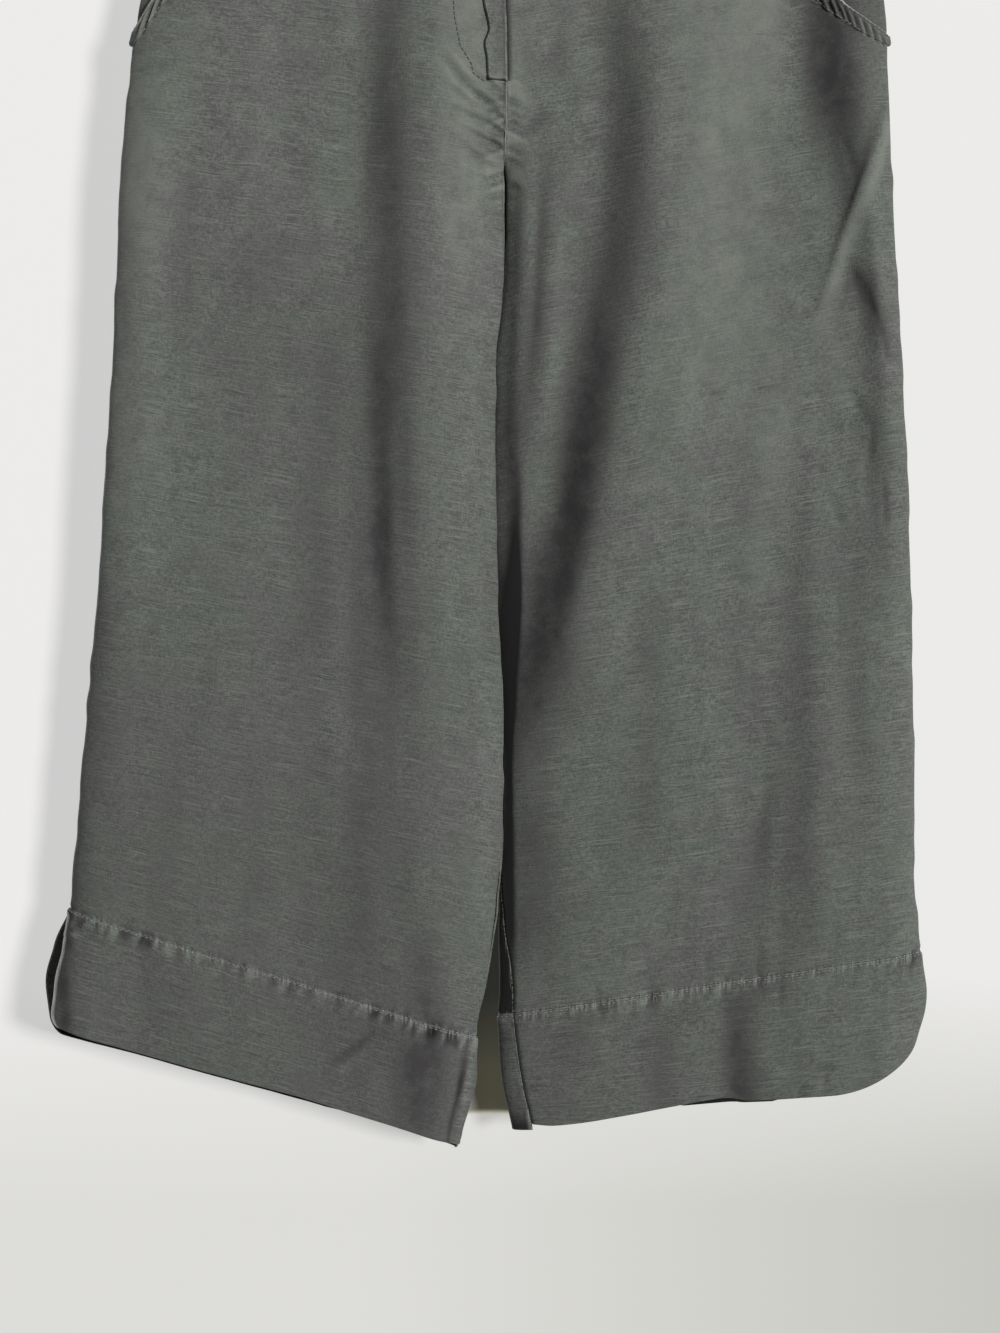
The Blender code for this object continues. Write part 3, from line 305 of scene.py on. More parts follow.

# Painted shade along the folds (above 0) and painted highlight beside them (below 0): laid out as the
# creases are
paintedShades = {
    "left": [
        (-0.0780, -0.0500, -0.0740, 0.7400, 0.0000, 0.72, 0.0170, 0.0190),
        (-0.0300, -0.0800, -0.0250, 0.4300, 0.0000, -0.70, 0.0180, 0.0180),
        (-0.0930, 0.4300, -0.0980, 0.9500, 0.0000, 0.30, 0.0120, 0.0200),
        (-0.0550, 0.7400, -0.0470, 0.9600, 0.0000, 0.28, 0.0100, 0.0120),
        (-0.2950, 0.7500, -0.2930, 0.8850, 0.0000, 0.85, 0.0045, 0.0065),
        (-0.1500, 0.4400, -0.1500, 1.4000, 0.0000, 0.36, 0.3000, 0.3000),
        (-0.1700, -0.4000, -0.1900, 1.0000, 0.0000, 0.10, 0.0900, 0.0700),
        (-0.2660, 0.1400, -0.2660, 0.3800, 0.0000, -0.42, 0.0300, 0.0500),
        (-0.2600, 0.1200, -0.2700, 0.6200, 0.0000, -0.48, 0.0200, 0.0400),
        (-0.1170, 0.3000, -0.1170, 0.6600, 0.0000, 0.48, 0.0220, 0.0260),
        (-0.1700, 0.2800, -0.1700, 0.5200, 0.0000, 0.16, 0.0250, 0.0250),
        (-0.0905, -0.1000, -0.0905, 0.2300, 0.0000, -0.32, 0.0180, 0.0160),
        (-0.0640, 0.2300, -0.0640, 0.4800, 0.0000, 0.12, 0.0160, 0.0200),
        (-0.0300, -0.0500, -0.0200, 0.2100, 0.0000, -0.34, 0.0200, 0.0160),
        (-0.0100, 0.5700, -0.0120, 0.8300, 0.0000, -0.22, 0.0120, 0.0090),
        (-0.0560, 0.7900, -0.0420, 0.9600, 0.0000, 0.26, 0.0160, 0.0150),
        (-0.0640, 0.8250, -0.0580, 0.9500, 0.0000, 0.30, 0.0160, 0.0120),
        (-0.0020, 0.2600, -0.0060, 0.6600, 0.0000, 0.25, 0.0100, 0.0060),
        (-0.0012, -0.1500, -0.0008, 0.4000, 0.0000, 0.90, 0.0006, 0.0006),
        (-0.3060, 0.7872, -0.2740, 0.7868, 0.0000, -0.90, 0.0008, 0.0010),
        (-0.3060, 0.7850, -0.2740, 0.7844, 0.0000, 0.80, 0.0009, 0.0009),
        (-0.2900, 0.7890, -0.2660, 0.7720, 0.0000, -0.80, 0.0009, 0.0009),
        (-0.2905, 0.7868, -0.2672, 0.7700, 0.0000, 0.70, 0.0009, 0.0009),
        (-0.0262, 0.8500, -0.0385, 0.9550, 0.0000, 0.80, 0.0016, 0.0012),
        (-0.0235, 0.8500, -0.0355, 0.9550, 0.0000, -0.45, 0.0012, 0.0022),
    ],
    "right": [
        (0.0760, 0.1300, 0.0920, 0.4000, 0.0000, 0.38, 0.0160, 0.0180),
        (0.0740, 0.2600, -0.0040, 0.7000, 0.0160, 1.00, 0.0180, 0.0180),
        (0.0700, 0.1100, 0.0700, 0.2200, 0.0000, 0.26, 0.0160, 0.0160),
        (0.0240, 0.4700, 0.0180, 0.7200, 0.0000, 0.55, 0.0140, 0.0140),
        (0.0150, 0.3300, 0.0150, 0.5000, 0.0000, 0.42, 0.0120, 0.0150),
        (0.0180, 0.6700, 0.0170, 0.8350, 0.0000, 0.60, 0.0120, 0.0180),
        (0.0440, 0.5700, 0.0400, 0.6700, 0.0000, 0.42, 0.0120, 0.0160),
        (0.0440, -0.1000, 0.0440, 0.2300, 0.0000, -0.25, 0.0240, 0.0180),
        (0.0970, 0.1500, 0.0970, 0.3900, 0.0000, 0.24, 0.0120, 0.0140),
        (0.1780, 0.0300, 0.1780, 0.2700, 0.0000, -0.56, 0.0170, 0.0160),
        (0.2450, 0.7900, 0.2450, 0.9300, 0.0000, -0.26, 0.0300, 0.0300),
        (0.1760, 0.6800, 0.1500, 0.8400, 0.0000, 0.24, 0.0120, 0.0120),
        (0.0060, 0.4200, 0.0060, 0.9000, 0.0000, 2.20, 0.0100, 0.0024),
        (0.0040, 0.3300, 0.0040, 0.6600, 0.0000, 0.50, 0.0040, 0.0080),
        (0.0040, 0.1200, 0.0040, 0.3300, 0.0000, -0.45, 0.0120, 0.0120),
        (0.0300, 0.2150, 0.0230, 0.4600, 0.0000, 0.30, 0.0050, 0.0060),
        (0.2190, 0.0200, 0.2300, 0.3250, 0.0020, 0.90, 0.0190, 0.0170),
        (0.2260, 0.3250, 0.2560, 0.4100, 0.0000, 0.75, 0.0080, 0.0090),
        (0.2300, 0.3400, 0.2300, 0.4500, 0.0000, -0.28, 0.0150, 0.0140),
        (0.2450, 0.3600, 0.2560, 0.6000, 0.0000, 0.22, 0.0150, 0.0150),
        (0.1960, 0.0000, 0.2150, 0.3000, 0.0000, 0.60, 0.0150, 0.0140),
        (0.2680, 0.1960, 0.2040, 0.3880, 0.0000, 0.80, 0.0060, 0.0012),
        (0.2750, 0.1960, 0.2100, 0.3880, 0.0000, -0.60, 0.0014, 0.0050),
        (0.1550, -0.0600, 0.1350, 0.5400, 0.0000, -0.62, 0.0400, 0.0420),
        (0.1970, 0.4900, 0.1900, 0.8700, 0.0000, 0.26, 0.0160, 0.0160),
        (0.1560, 0.7900, 0.1600, 0.9500, 0.0000, 0.85, 0.0100, 0.0120),
        (0.1000, 0.8000, 0.1060, 0.9600, 0.0000, 0.34, 0.0090, 0.0120),
        (0.0500, 0.8200, 0.0400, 0.9000, 0.0000, 0.22, 0.0090, 0.0100),
        (0.1400, 0.6000, 0.1400, 1.4000, 0.0000, 0.16, 0.3000, 0.3000),
    ],
}

# The pocket mouths and their stitch lines, from the waist seam out to the side seam
pocketMouths = {
    "left": {
        "columns": ("drop", "x", "stitchX"),
        "rows": [
            (0.0350, -0.1500, -0.1390),
            (0.0800, -0.1770, -0.1658),
            (0.1200, -0.2060, -0.1944),
            (0.1500, -0.2270, -0.2152),
            (0.1670, -0.2385, -0.2290),
            (0.1780, -0.2456, -0.2374),
            (0.1856, -0.2492, -0.2432),
            (0.1916, -0.2500, -0.2480),
        ],
    },
    "right": {
        "columns": ("drop", "x", "stitchX"),
        "rows": [
            (0.0350, 0.1500, 0.1390),
            (0.0800, 0.1730, 0.1616),
            (0.1200, 0.1960, 0.1838),
            (0.1500, 0.2145, 0.2000),
            (0.1670, 0.2278, 0.2118),
            (0.1780, 0.2440, 0.2262),
            (0.1856, 0.2556, 0.2385),
            (0.1916, 0.2570, 0.2535),
        ],
    },
}


# a smooth curve through one column of a table, which never swings past its values
def along(table, column, drop):
    place = table["columns"].index(column)
    knots = np.array([row[0] for row in table["rows"]])
    values = np.array([row[place] for row in table["rows"]])
    runs = np.diff(values) / np.diff(knots)
    sameWay = runs[:-1] * runs[1:] > 0
    total = np.where(sameWay, runs[:-1] + runs[1:], 1.0)
    slopes = np.concatenate([runs[:1], np.where(sameWay, 2 * runs[:-1] * runs[1:] / total, 0.0), runs[-1:]])
    drop = np.asarray(drop, dtype=float)
    left = np.clip(np.searchsorted(knots, drop) - 1, 0, len(knots) - 2)
    span = knots[left + 1] - knots[left]
    s = np.clip((drop - knots[left]) / span, 0.0, 1.0)
    rise = s * s * (3 - 2 * s)
    bends = s * (1 - s) ** 2 * slopes[left] + s * s * (s - 1) * slopes[left + 1]
    return values[left] * (1 - rise) + values[left + 1] * rise + bends * span


# a soft step from 0 to 1
def ease(s):
    s = np.clip(s, 0.0, 1.0)
    return s * s * (3 - 2 * s)


# quarter ellipse: 0 at an edge, 1 from the width inwards
def rounded(distance, width):
    s = np.clip(distance / width, 0.0, 1.0)
    return np.sqrt(1 - (1 - s) ** 2)


def bell(distance, width):
    return np.exp(-(distance / width) ** 2)


# smooth seeded unevenness between -1 and 1 over cells of the given size
def unevenness(a, b, cellA, cellB, seed):
    size = 64
    lattice = np.random.default_rng(seed).uniform(-1.0, 1.0, (size, size))
    p, q = np.broadcast_arrays(np.asarray(a, float) / cellA + 0.37, np.asarray(b, float) / cellB + 0.61)
    i, j = np.floor(p).astype(int), np.floor(q).astype(int)
    u, v = ease(p - i), ease(q - j)
    near = lattice[i % size, j % size] * (1 - u) + lattice[(i + 1) % size, j % size] * u
    far = lattice[i % size, (j + 1) % size] * (1 - u) + lattice[(i + 1) % size, (j + 1) % size] * u
    return near * (1 - v) + far * v


# sums the large folds of one face
def foldHeight(face, x, drop):
    height = np.zeros_like(x)
    for startX, startDrop, bendX, endX, endDrop, high, wideLeft, wideRight in largeFolds[face]:
        s = np.clip((drop - startDrop) / (endDrop - startDrop), 0.0, 1.0)
        crest = (1 - s) ** 2 * startX + 2 * s * (1 - s) * bendX + s * s * endX
        fade = ease(s / section["foldFade"]) * ease((1 - s) / section["foldFade"])
        height = height + high * fade * bell(x - crest, np.where(x < crest, wideLeft, wideRight))
    return height


# sums soft ridges along lines: each row gives its ends, its bow, its height and its two widths
def ridgeHeight(table, x, down):
    height = np.zeros_like(x)
    for startX, startDrop, endX, endDrop, bow, high, wideBefore, wideAfter in table:
        length = math.hypot(endX - startX, endDrop - startDrop)
        alongX, alongDown = (endX - startX) / length, (endDrop - startDrop) / length
        s = ((x - startX) * alongX + (down - startDrop) * alongDown) / length
        away = (x - startX) * alongDown - (down - startDrop) * alongX
        s = np.clip(s, -0.2, 1.2)
        away = away - bow * 4 * s * (1 - s)
        fade = ease(s / section["creaseFade"]) * ease((1 - s) / section["creaseFade"])
        height = height + high * fade * bell(away, np.where(away < 0, wideBefore, wideAfter))
    return height


# the garment's outer surface; a turn past 0 or 1 goes round the edge to the other face
def clothPoint(leg, face, turn, drop):
    turn, drop = np.broadcast_arrays(np.asarray(turn, float), np.asarray(drop, float))
    outline = outlines[leg]
    towardSide = -1.0 if leg == "left" else 1.0
    onFront = ((turn < 0) | (turn > 1)) != (face == "front")
    outward = np.where(onFront, -1.0, 1.0)
    across = (1 - np.cos(math.pi * turn)) / 2

    sideX = along(outline, "sideX", drop)
    innerX = along(outline, "innerX", drop) + towardSide * seams["gap"] / 2
    sideDrop = along(outline, "sideDrop", drop)
    width = np.abs(innerX - sideX)
    fromSide = across * width
    fromInner = (1 - across) * width

    bandTop, hem = levels["band"][leg], levels["hem"][leg]
    band = np.clip((drop - bandTop) / (hem - bandTop), 0.0, 1.0)
    flare = section["backFlare"][leg] * np.sin(math.pi * band) * (1 - across) ** 4
    down = sideDrop + (drop - sideDrop) * across
    cell, seeds = section["strayCell"], section["straySeeds"]
    stray = section["edgeStray"] * unevenness(down, 0.0, cell, 1.0, seeds[leg]) * (1 - across) ** 4
    between = section["gapStray"] * unevenness(down, 0.0, cell, 1.0, seeds["gap"])
    belowCrotch = drop - levels["crotch"] - section["gapStrayBelow"]
    between = between * across ** 6 * ease(belowCrotch / section["gapStrayFade"])
    x = sideX + (innerX - sideX) * across + towardSide * (np.where(onFront, 0.0, flare) + stray) + between

    aboveCrotch = np.clip((levels["crotch"] - drop) / section["crotchRise"], 0.0, 1.0)
    sideRound = np.where(onFront, along(depths, "sideRound", drop), section["backSideRound"])
    sideStart = section["slitOpen"] * sideRound * band
    fromCrotch = np.hypot(fromInner, section["innerRound"] * aboveCrotch)
    shape = rounded(fromSide + sideStart, sideRound) * rounded(fromCrotch, section["innerRound"])
    half = np.where(onFront, along(depths, "front", drop), along(depths, "back", drop))
    hold = ease(fromSide / section["foldHold"]) * ease(fromCrotch / section["foldHold"])
    folds = np.where(onFront, foldHeight("front", x, down), foldHeight("back", x, down))

    part = towardSide * along(depths, "part", drop) * across ** 3
    lean = along(depths, leg + "Lean", drop) * (1 - across) ** section["leanReach"][leg]
    y = part - lean + outward * (half * shape + folds * hold)
    return np.stack([x, y, -down], axis=-1)


# the direction from the cloth's outer surface to the garment's inside
def clothInward(leg, face, turn, drop):
    turn, drop = np.broadcast_arrays(np.asarray(turn, float), np.asarray(drop, float))
    step = 2e-4  # a small step in turn and in drop, for the cloth's slope
    sideways = np.where(turn > 0.5, -step, step)
    here = clothPoint(leg, face, turn, drop)
    across = (clothPoint(leg, face, turn + sideways, drop) - here) / sideways[..., None]
    downward = np.where(drop > levels["hem"][leg] - step, -step, step)
    down = (clothPoint(leg, face, turn, drop + downward) - here) / downward[..., None]
    normal = np.cross(across, down)
    normal /= np.linalg.norm(normal, axis=-1, keepdims=True)
    return normal * (1 if leg == "left" else -1) * (1 if face == "front" else -1)


# the turn of a place given by its x
def turnAt(leg, x, drop):
    towardSide = -1.0 if leg == "left" else 1.0
    sideX = along(outlines[leg], "sideX", drop)
    innerX = along(outlines[leg], "innerX", drop) + towardSide * seams["gap"] / 2
    across = np.clip((x - sideX) / (innerX - sideX), 0.0, 1.0)
    return np.arccos(1 - 2 * across) / math.pi


# the turn that lies a distance in from the side edge (0) or the inner edge (1)
def turnFromEdge(leg, face, edge, drop, distance):
    drop = np.asarray(drop, float)
    start = clothPoint(leg, face, np.full(drop.shape, float(edge)), drop)
    inwards = 1.0 if edge == 0 else -1.0
    low, high = np.zeros(drop.shape), np.full(drop.shape, 0.4)
    for _ in range(26):  # halves the range until it is far below a hair's width
        middle = (low + high) / 2
        reach = np.linalg.norm(clothPoint(leg, face, edge + inwards * middle, drop) - start, axis=-1)
        low, high = np.where(reach < distance, middle, low), np.where(reach < distance, high, middle)
    return edge + inwards * (low + high) / 2


# fine height over the soft folds, the same for every layer that lies at a place
surface = {
    "seeds": {"left": 11, "right": 23},
    "uneven": [(0.045, 0.120, 0.0012), (0.017, 0.044, 0.00060), (0.0065, 0.012, 0.00013)],
    # creaseTone turns a crease's height into painted shade in its hollow and painted highlight on its crest,
    # held within the palest and darkest; the shade keys make the painted fold shade's edges wander and its
    # strength break
    "creaseTone": 330.0,
    "palestCrease": -0.6,
    "darkestCrease": 0.5,
    "shadeCells": (0.016, 0.060),
    "shadeStray": 0.0038,
    "shadeBreak": 0.16,
    "slitHold": 0.010,
}

# Small gathers that the stitching draws up: their pitch and height, how much painted highlight their crests
# and painted shade their hollows get, and where they reach
gathers = {
    "band": {
        "pitch": 0.0032,
        "height": 0.0015,
        "pale": 2.09,
        "dark": 2.09,
        "length": 0.030,
        "slant": 0.3,
        "crest": 0.003,
        "reach": 0.0062,
        "aboveReach": 0.0031,
        "aboveShare": 0.7,
        "patch": 0.05,
        "patchShare": 0.45,
    },
    "crotch": {
        "pitch": 0.0030,
        "height": 0.0008,
        "pale": 2.42,
        "dark": 0.825,
        "length": 0.02,
        "slant": 0.4,
        "crest": 0.003,
        "reach": 0.0085,
        "from": 0.205,
        "to": 0.300,
        "fade": 0.02,
    },
    "fly": {
        "pitch": 0.0060,
        "height": 0.0005,
        "pale": 0.275,
        "dark": 0.275,
        "length": 0.02,
        "crest": 0.014,
        "reach": 0.010,
        "to": 0.215,
        "fade": 0.02,
        "backShare": 0.5,
    },
    "pocket": {
        "pitch": 0.0047,
        "height": 0.0009,
        "pale": 1.045,
        "dark": 1.045,
        "slant": 0.375,
        "wander": 1.6,
        "mouthSide": 0.12,
        "rise": 0.30,
        "stitchSide": 1.4,
        "fall": 0.4,
        "past": 0.004,
        "fade": 0.006,
        "topShare": 0.35,
        "fullFrom": 0.12,
        "fullLength": 0.04,
    },
}


# above and below a hem band's seam
def bandRipple(look, leg, x, drop, seed):
    below = drop - levels["band"][leg]
    dense = 1 - look["patchShare"] + look["patchShare"] * unevenness(x, 0.0, look["patch"], 1.0, seed + 4)
    above = bell(below, look["aboveReach"]) * look["aboveShare"]
    fall = np.where(below > 0, bell(below - look["crest"], look["reach"]), above)
    place = x + look["slant"] * below
    return dense * fall * unevenness(place, below, look["pitch"], look["length"], seed + 5)


# beside the seam that runs into the crotch
def crotchRipple(look, drop, down, fromCentre, seed):
    window = ease((drop - look["from"]) / look["fade"]) * ease((look["to"] - drop) / look["fade"])
    place = down - look["slant"] * fromCentre
    ripple = window * unevenness(place, fromCentre, look["pitch"], look["length"], seed + 6)
    return ripple * bell(fromCentre - look["crest"], look["reach"])


# beside the fly's edge
def flyRipple(look, onFront, drop, down, fromCentre, seed):
    window = np.where(onFront, 1.0, look["backShare"]) * ease((look["to"] - drop) / look["fade"])
    ripple = window * unevenness(down, fromCentre, look["pitch"], look["length"], seed + 7)
    return ripple * bell(fromCentre - look["crest"], look["reach"])


# between a pocket's mouth and its stitch line
def pocketRipple(look, leg, onFront, x, drop, down, seed):
    mouth = along(pocketMouths[leg], "x", drop)
    stitch = along(pocketMouths[leg], "stitchX", drop)
    share = (x - mouth) / (stitch - mouth)
    window = ease((share - look["mouthSide"]) / look["rise"])
    window = window * ease((look["stitchSide"] - share) / look["fall"])
    window = window * ease((levels["pocketStitch"] + look["past"] - drop) / look["fade"])
    window = window * np.where(onFront, 1.0, 0.0)
    full = ease((drop - look["fullFrom"]) / look["fullLength"])
    strength = look["topShare"] + (1 - look["topShare"]) * full
    place = np.abs(x) - look["slant"] * down
    wander = look["wander"] * unevenness(place, 0.0, 2 * look["pitch"], 1.0, seed + 8)
    return strength * window * np.sin(2 * math.pi * place / look["pitch"] + wander)


# the height and the painted shade (dark above 0, painted highlight below 0) at places on the cloth
def reliefAt(leg, onFront, x, drop, down):
    seed = surface["seeds"][leg]
    height = np.zeros_like(x)
    for number, (cellX, cellDrop, high) in enumerate(surface["uneven"]):
        rough = unevenness(x, down, cellX, cellDrop, seed + number)
        height += high * np.where(onFront, rough, unevenness(x, down, cellX, cellDrop, seed + number + 50))
    laid = ridgeHeight(creases["front"], x, down) + ridgeHeight(creases[leg], x, down)
    laid = np.where(onFront, laid, ridgeHeight(creases["back"], x, down))
    height += laid
    # each laid crease gets painted shade in its hollow and painted highlight on its crest
    tone = np.clip(-laid * surface["creaseTone"], surface["palestCrease"], surface["darkestCrease"])
    # the painted fold shade, with wandering edges and uneven strength
    cellX, cellDrop = surface["shadeCells"]
    strayed = x + surface["shadeStray"] * unevenness(x, down, cellX, cellDrop, seed + 70)
    strength = 1 + surface["shadeBreak"] * unevenness(x, down, cellX / 2, cellDrop / 2, seed + 71)
    tone += np.where(onFront, ridgeHeight(paintedShades[leg], strayed, down) * strength, 0.0)

    fromCentre = np.abs(x - along(outlines[leg], "innerX", drop))
    ripples = {
        "band": bandRipple(gathers["band"], leg, x, drop, seed),
        "crotch": crotchRipple(gathers["crotch"], drop, down, fromCentre, seed),
        "fly": flyRipple(gathers["fly"], onFront, drop, down, fromCentre, seed),
        "pocket": pocketRipple(gathers["pocket"], leg, onFront, x, drop, down, seed),
    }
    for name, ripple in ripples.items():
        look = gathers[name]
        height += look["height"] * ripple
        # a gather's crest gets painted highlight and its hollow painted shade
        tone -= np.where(ripple > 0, look["pale"], look["dark"]) * ripple

    # the open slit and the turned edges hold their line
    width = np.abs(along(outlines[leg], "sideX", drop) - x)
    return height * ease((width + 0.002) / surface["slitHold"]), tone


def addThing(name, data):
    thing = bpy.data.objects.new(name, data)
    bpy.context.scene.collection.objects.link(thing)
    return thing


# closes two matching layers of points with a rim, and keeps the edge marks and painted shade that the
# cloth's material reads
def addWall(name, outer, inner, weave, marks, material):
    rows, columns = outer.shape[:2]
    count = rows * columns
    place = np.arange(count).reshape(rows, columns)
    quads = np.stack([place[:-1, :-1], place[:-1, 1:], place[1:, 1:], place[1:, :-1]], axis=-1)
    quads = quads.reshape(-1, 4)
    rim = np.concatenate([place[0, :], place[1:, -1], place[-1, -2::-1], place[-2:0:-1, 0]])
    following = np.roll(rim, -1)
    band = np.stack([following, rim, rim + count, following + count], axis=-1)
    faces = np.concatenate([quads, quads[:, ::-1] + count, band])
    corner = outer[0, 0]
    facing = np.cross(outer[0, 1] - corner, outer[1, 0] - corner)
    if np.dot(facing, corner - inner[0, 0]) > 0:
        faces = faces[:, ::-1]
    points = np.concatenate([outer.reshape(-1, 3), inner.reshape(-1, 3)])
    mesh = bpy.data.meshes.new(name)
    mesh.from_pydata(points.tolist(), [], faces.tolist())
    mesh.update()
    mesh.shade_smooth()
    mesh.set_sharp_from_angle(angle=math.radians(60))
    flat = np.concatenate([weave.reshape(-1, 2), weave.reshape(-1, 2)])
    layer = mesh.uv_layers.new(name="weave")
    corners = np.empty(len(mesh.loops), dtype=np.int32)
    mesh.loops.foreach_get("vertex_index", corners)
    layer.data.foreach_set("uv", flat[corners].astype(np.float32).ravel())
    for label, values in zip(("edge", "rubAndShade", "tone"), marks):
        held = mesh.attributes.new(label, "FLOAT", "POINT")
        both = np.broadcast_to(values, (2, rows, columns))
        held.data.foreach_set("value", both.ravel().astype(np.float32))
    mesh.materials.append(material)
    return addThing(name, mesh)


# lengths over the cloth from the first column or row
def lengthsFrom(points, axis):
    steps = np.linalg.norm(np.diff(points, axis=axis), axis=-1)
    start = np.zeros_like(np.take(steps, [0], axis=axis))
    return np.concatenate([start, np.cumsum(steps, axis=axis)], axis=axis)


# how far each place lies from the piece's four edges
def edgeDistances(points):
    start, top = lengthsFrom(points, 1), lengthsFrom(points, 0)
    return {"start": start, "end": start[:, -1:] - start, "top": top, "bottom": top[-1:] - top}


# a piece's edges: how far the last millimetre rolls in, the ridge of what is sewn under it, how far in
# the cloth is marked, and its mark: above 0 paler by rubbing with painted highlight, below 0 painted shade
edgeColumns = ("roll", "wide", "ridge", "at", "spread", "reach", "rubAndShade")
edges = {
    "seam": (0.00075, 0.0011, 0.00035, 0.0045, 0.0034, 0.0011, 0.30),
    "bandTop": (0.00070, 0.0010, 0.00045, 0.0036, 0.0024, 0.0074, 0.80),
    "aboveBand": (0.00060, 0.0009, 0.00020, 0.0030, 0.0020, 0.0022, 0.50),
    "crotchSeam": (0.00040, 0.0008, 0.00040, 0.0014, 0.0010, 0.0021, 1.60),
    # kinds below 0 are painted shadow: beside the fly, under a back hem, along a lip and under piping
    "flyShadow": (0.00050, 0.0008, 0.0, 0.0022, 0.0016, 0.0050, -1.00),
    "backHem": (0.00050, 0.0008, 0.0, 0.0022, 0.0016, 0.0140, -1.00),
    "fold": (0.00050, 0.0008, 0.00030, 0.0022, 0.0016, 0.0016, 0.70),
    "hem": (0.00050, 0.0008, 0.00020, 0.0060, 0.0030, 0.0010, 0.25),
    "mouth": (0.00040, 0.0008, 0.00090, 0.0016, 0.0012, 0.0034, 1.80),
    "piping": (0.00030, 0.0006, 0.00080, 0.0010, 0.0008, 0.0014, 1.00),
    "slit": (0.00040, 0.0008, 0.00120, 0.0022, 0.0012, 0.0062, 1.90),
    "lip": (0.00050, 0.0007, 0.00030, 0.0022, 0.0014, 0.0017, -1.00),
    "under": (0.00060, 0.0010, 0.0, 0.0022, 0.0016, 0.0032, -0.90),
    "tuck": (0.00020, 0.0010, 0.0, 0.0022, 0.0016, 0.0010, 0.0),
    "plain": (0.0, 0.0010, 0.0, 0.0020, 0.0020, 0.0010, 0.0),
}


# an edge that changes its make on the way down is written (drop, kind) by (drop, kind)
def edgeValue(kind, name, drop):
    place = edgeColumns.index(name)
    if isinstance(kind, str):
        return np.full(drop.shape, edges[kind][place])
    value = np.zeros(drop.shape)
    for start, part in kind:
        value = np.where(drop >= start, edges[part][place], value)
    return value


# the ridge of what is sewn under an edge, less its roll
def edgeHeight(kind, distance, drop):
    away = distance - edgeValue(kind, "at", drop)
    ridge = edgeValue(kind, "ridge", drop) * bell(away, edgeValue(kind, "spread", drop))
    return ridge - edgeValue(kind, "roll", drop) * bell(distance, edgeValue(kind, "wide", drop))


# how near the closest marked edge is (0 on it, 1 where its mark ends), and its mark: paler by rubbing with
# painted highlight, or painted shade
def edgeMarks(finish, distances, drop):
    nearest = np.full(drop.shape, 2.0)
    rubAndShade = np.zeros(drop.shape)
    for edge, kind in finish.items():
        share = distances[edge] / edgeValue(kind, "reach", drop)
        closer = (share < nearest) & (edgeValue(kind, "rubAndShade", drop) != 0.0)
        rubAndShade = np.where(closer, edgeValue(kind, "rubAndShade", drop), rubAndShade)
        nearest = np.where(closer, share, nearest)
    return nearest, rubAndShade


# gives places on the cloth a wall with its relief and marked edges
def finishPiece(name, points, outward, drops, weave, look):
    relief, distances = look["relief"], edgeDistances(points)
    for edge, kind in look["finish"].items():
        relief = relief + edgeHeight(kind, distances[edge], drops)
    marks = (*edgeMarks(look["finish"], distances, drops), look["tone"])
    outer = points + outward * (look["lift"] + relief)[..., None]
    inner = outer - outward * np.broadcast_to(look["wall"], drops.shape)[..., None]
    thing = addWall(name, outer, inner, weave, marks, look["material"])
    return {"thing": thing, "outer": outer, "outward": outward, **distances}


# how far the weft leans across each leg, above the knee
grain = {"left": -0.13, "right": 0.20, "from": 0.30, "length": 0.50}


def clothPiece(name, leg, face, turns, drops, wall, material, finish, lift=0.0, deepen=0.0, sink=0.0):
    points = clothPoint(leg, face, turns, drops)
    points[..., 2] -= sink
    onFront = ((turns < 0) | (turns > 1)) != (face == "front")
    relief, tone = reliefAt(leg, onFront, points[..., 0], drops, -points[..., 2])
    middle = turns.shape[1] // 2
    across = lengthsFrom(points, 1)
    tilt = grain[leg] * (1 - ease((drops - grain["from"]) / grain["length"]))
    weave = np.stack([across - across[:, middle:middle + 1], drops + tilt * points[..., 0]], axis=-1)
    look = {
        "relief": relief,
        "finish": finish,
        "tone": tone + deepen,
        "lift": lift,
        "wall": wall,
        "material": material,
    }
    return finishPiece(name, points, -clothInward(leg, face, turns, drops), drops, weave, look)


# columns a little closer together at both edges, and laid partly by turn and partly by x
columnLook = {"crowding": 0.35, "byX": 0.6}


def spreadTurns(start, end, count, inwards=1.0):
    t = np.linspace(0.0, 1.0, count)
    t = t * (1 - columnLook["crowding"]) + (1 - np.cos(math.pi * t)) / 2 * columnLook["crowding"]
    t = 1 - (1 - t) ** inwards
    evenX = np.arccos(np.clip(1 - 2 * t, -1, 1)) / math.pi
    shares = t * (1 - columnLook["byX"]) + evenX * columnLook["byX"]
    return start[:, None] + (end - start)[:, None] * shares[None, :]


# where a piece starts beside the side seam, with the hem's corner, the slit and the turned seam
def sideStart(leg, face, drops):
    cornerWide, cornerTall = section["hemCorner"][leg]
    half = seams["gap"] / 2
    aboveHem = outlines[leg]["rows"][-1][2] - along(outlines[leg], "sideDrop", drops)
    cutAway = cornerWide * (1 - rounded(aboveHem, cornerTall))
    bandTop, hem = levels["band"][leg], levels["hem"][leg]
    band = np.clip((drops - bandTop) / (hem - bandTop), 0.0, 1.0)
    opening = section["slitGap"][leg] * np.sin(math.pi * band) if face == "front" else 0.0
    start = turnFromEdge(leg, face, 0, drops, half + cutAway + opening)
    if leg == "left":
        width = along(turnedSeams[leg], "width", drops)
        turned = drops < bandTop
        if face == "front":
            start = np.where(turned, turnFromEdge(leg, face, 0, drops, width + half), start)
        else:
            reach = turnFromEdge(leg, "front", 0, drops, np.maximum(width - half, half))
            start = np.where(turned & (width > seams["gap"]), -reach, start)
    return start


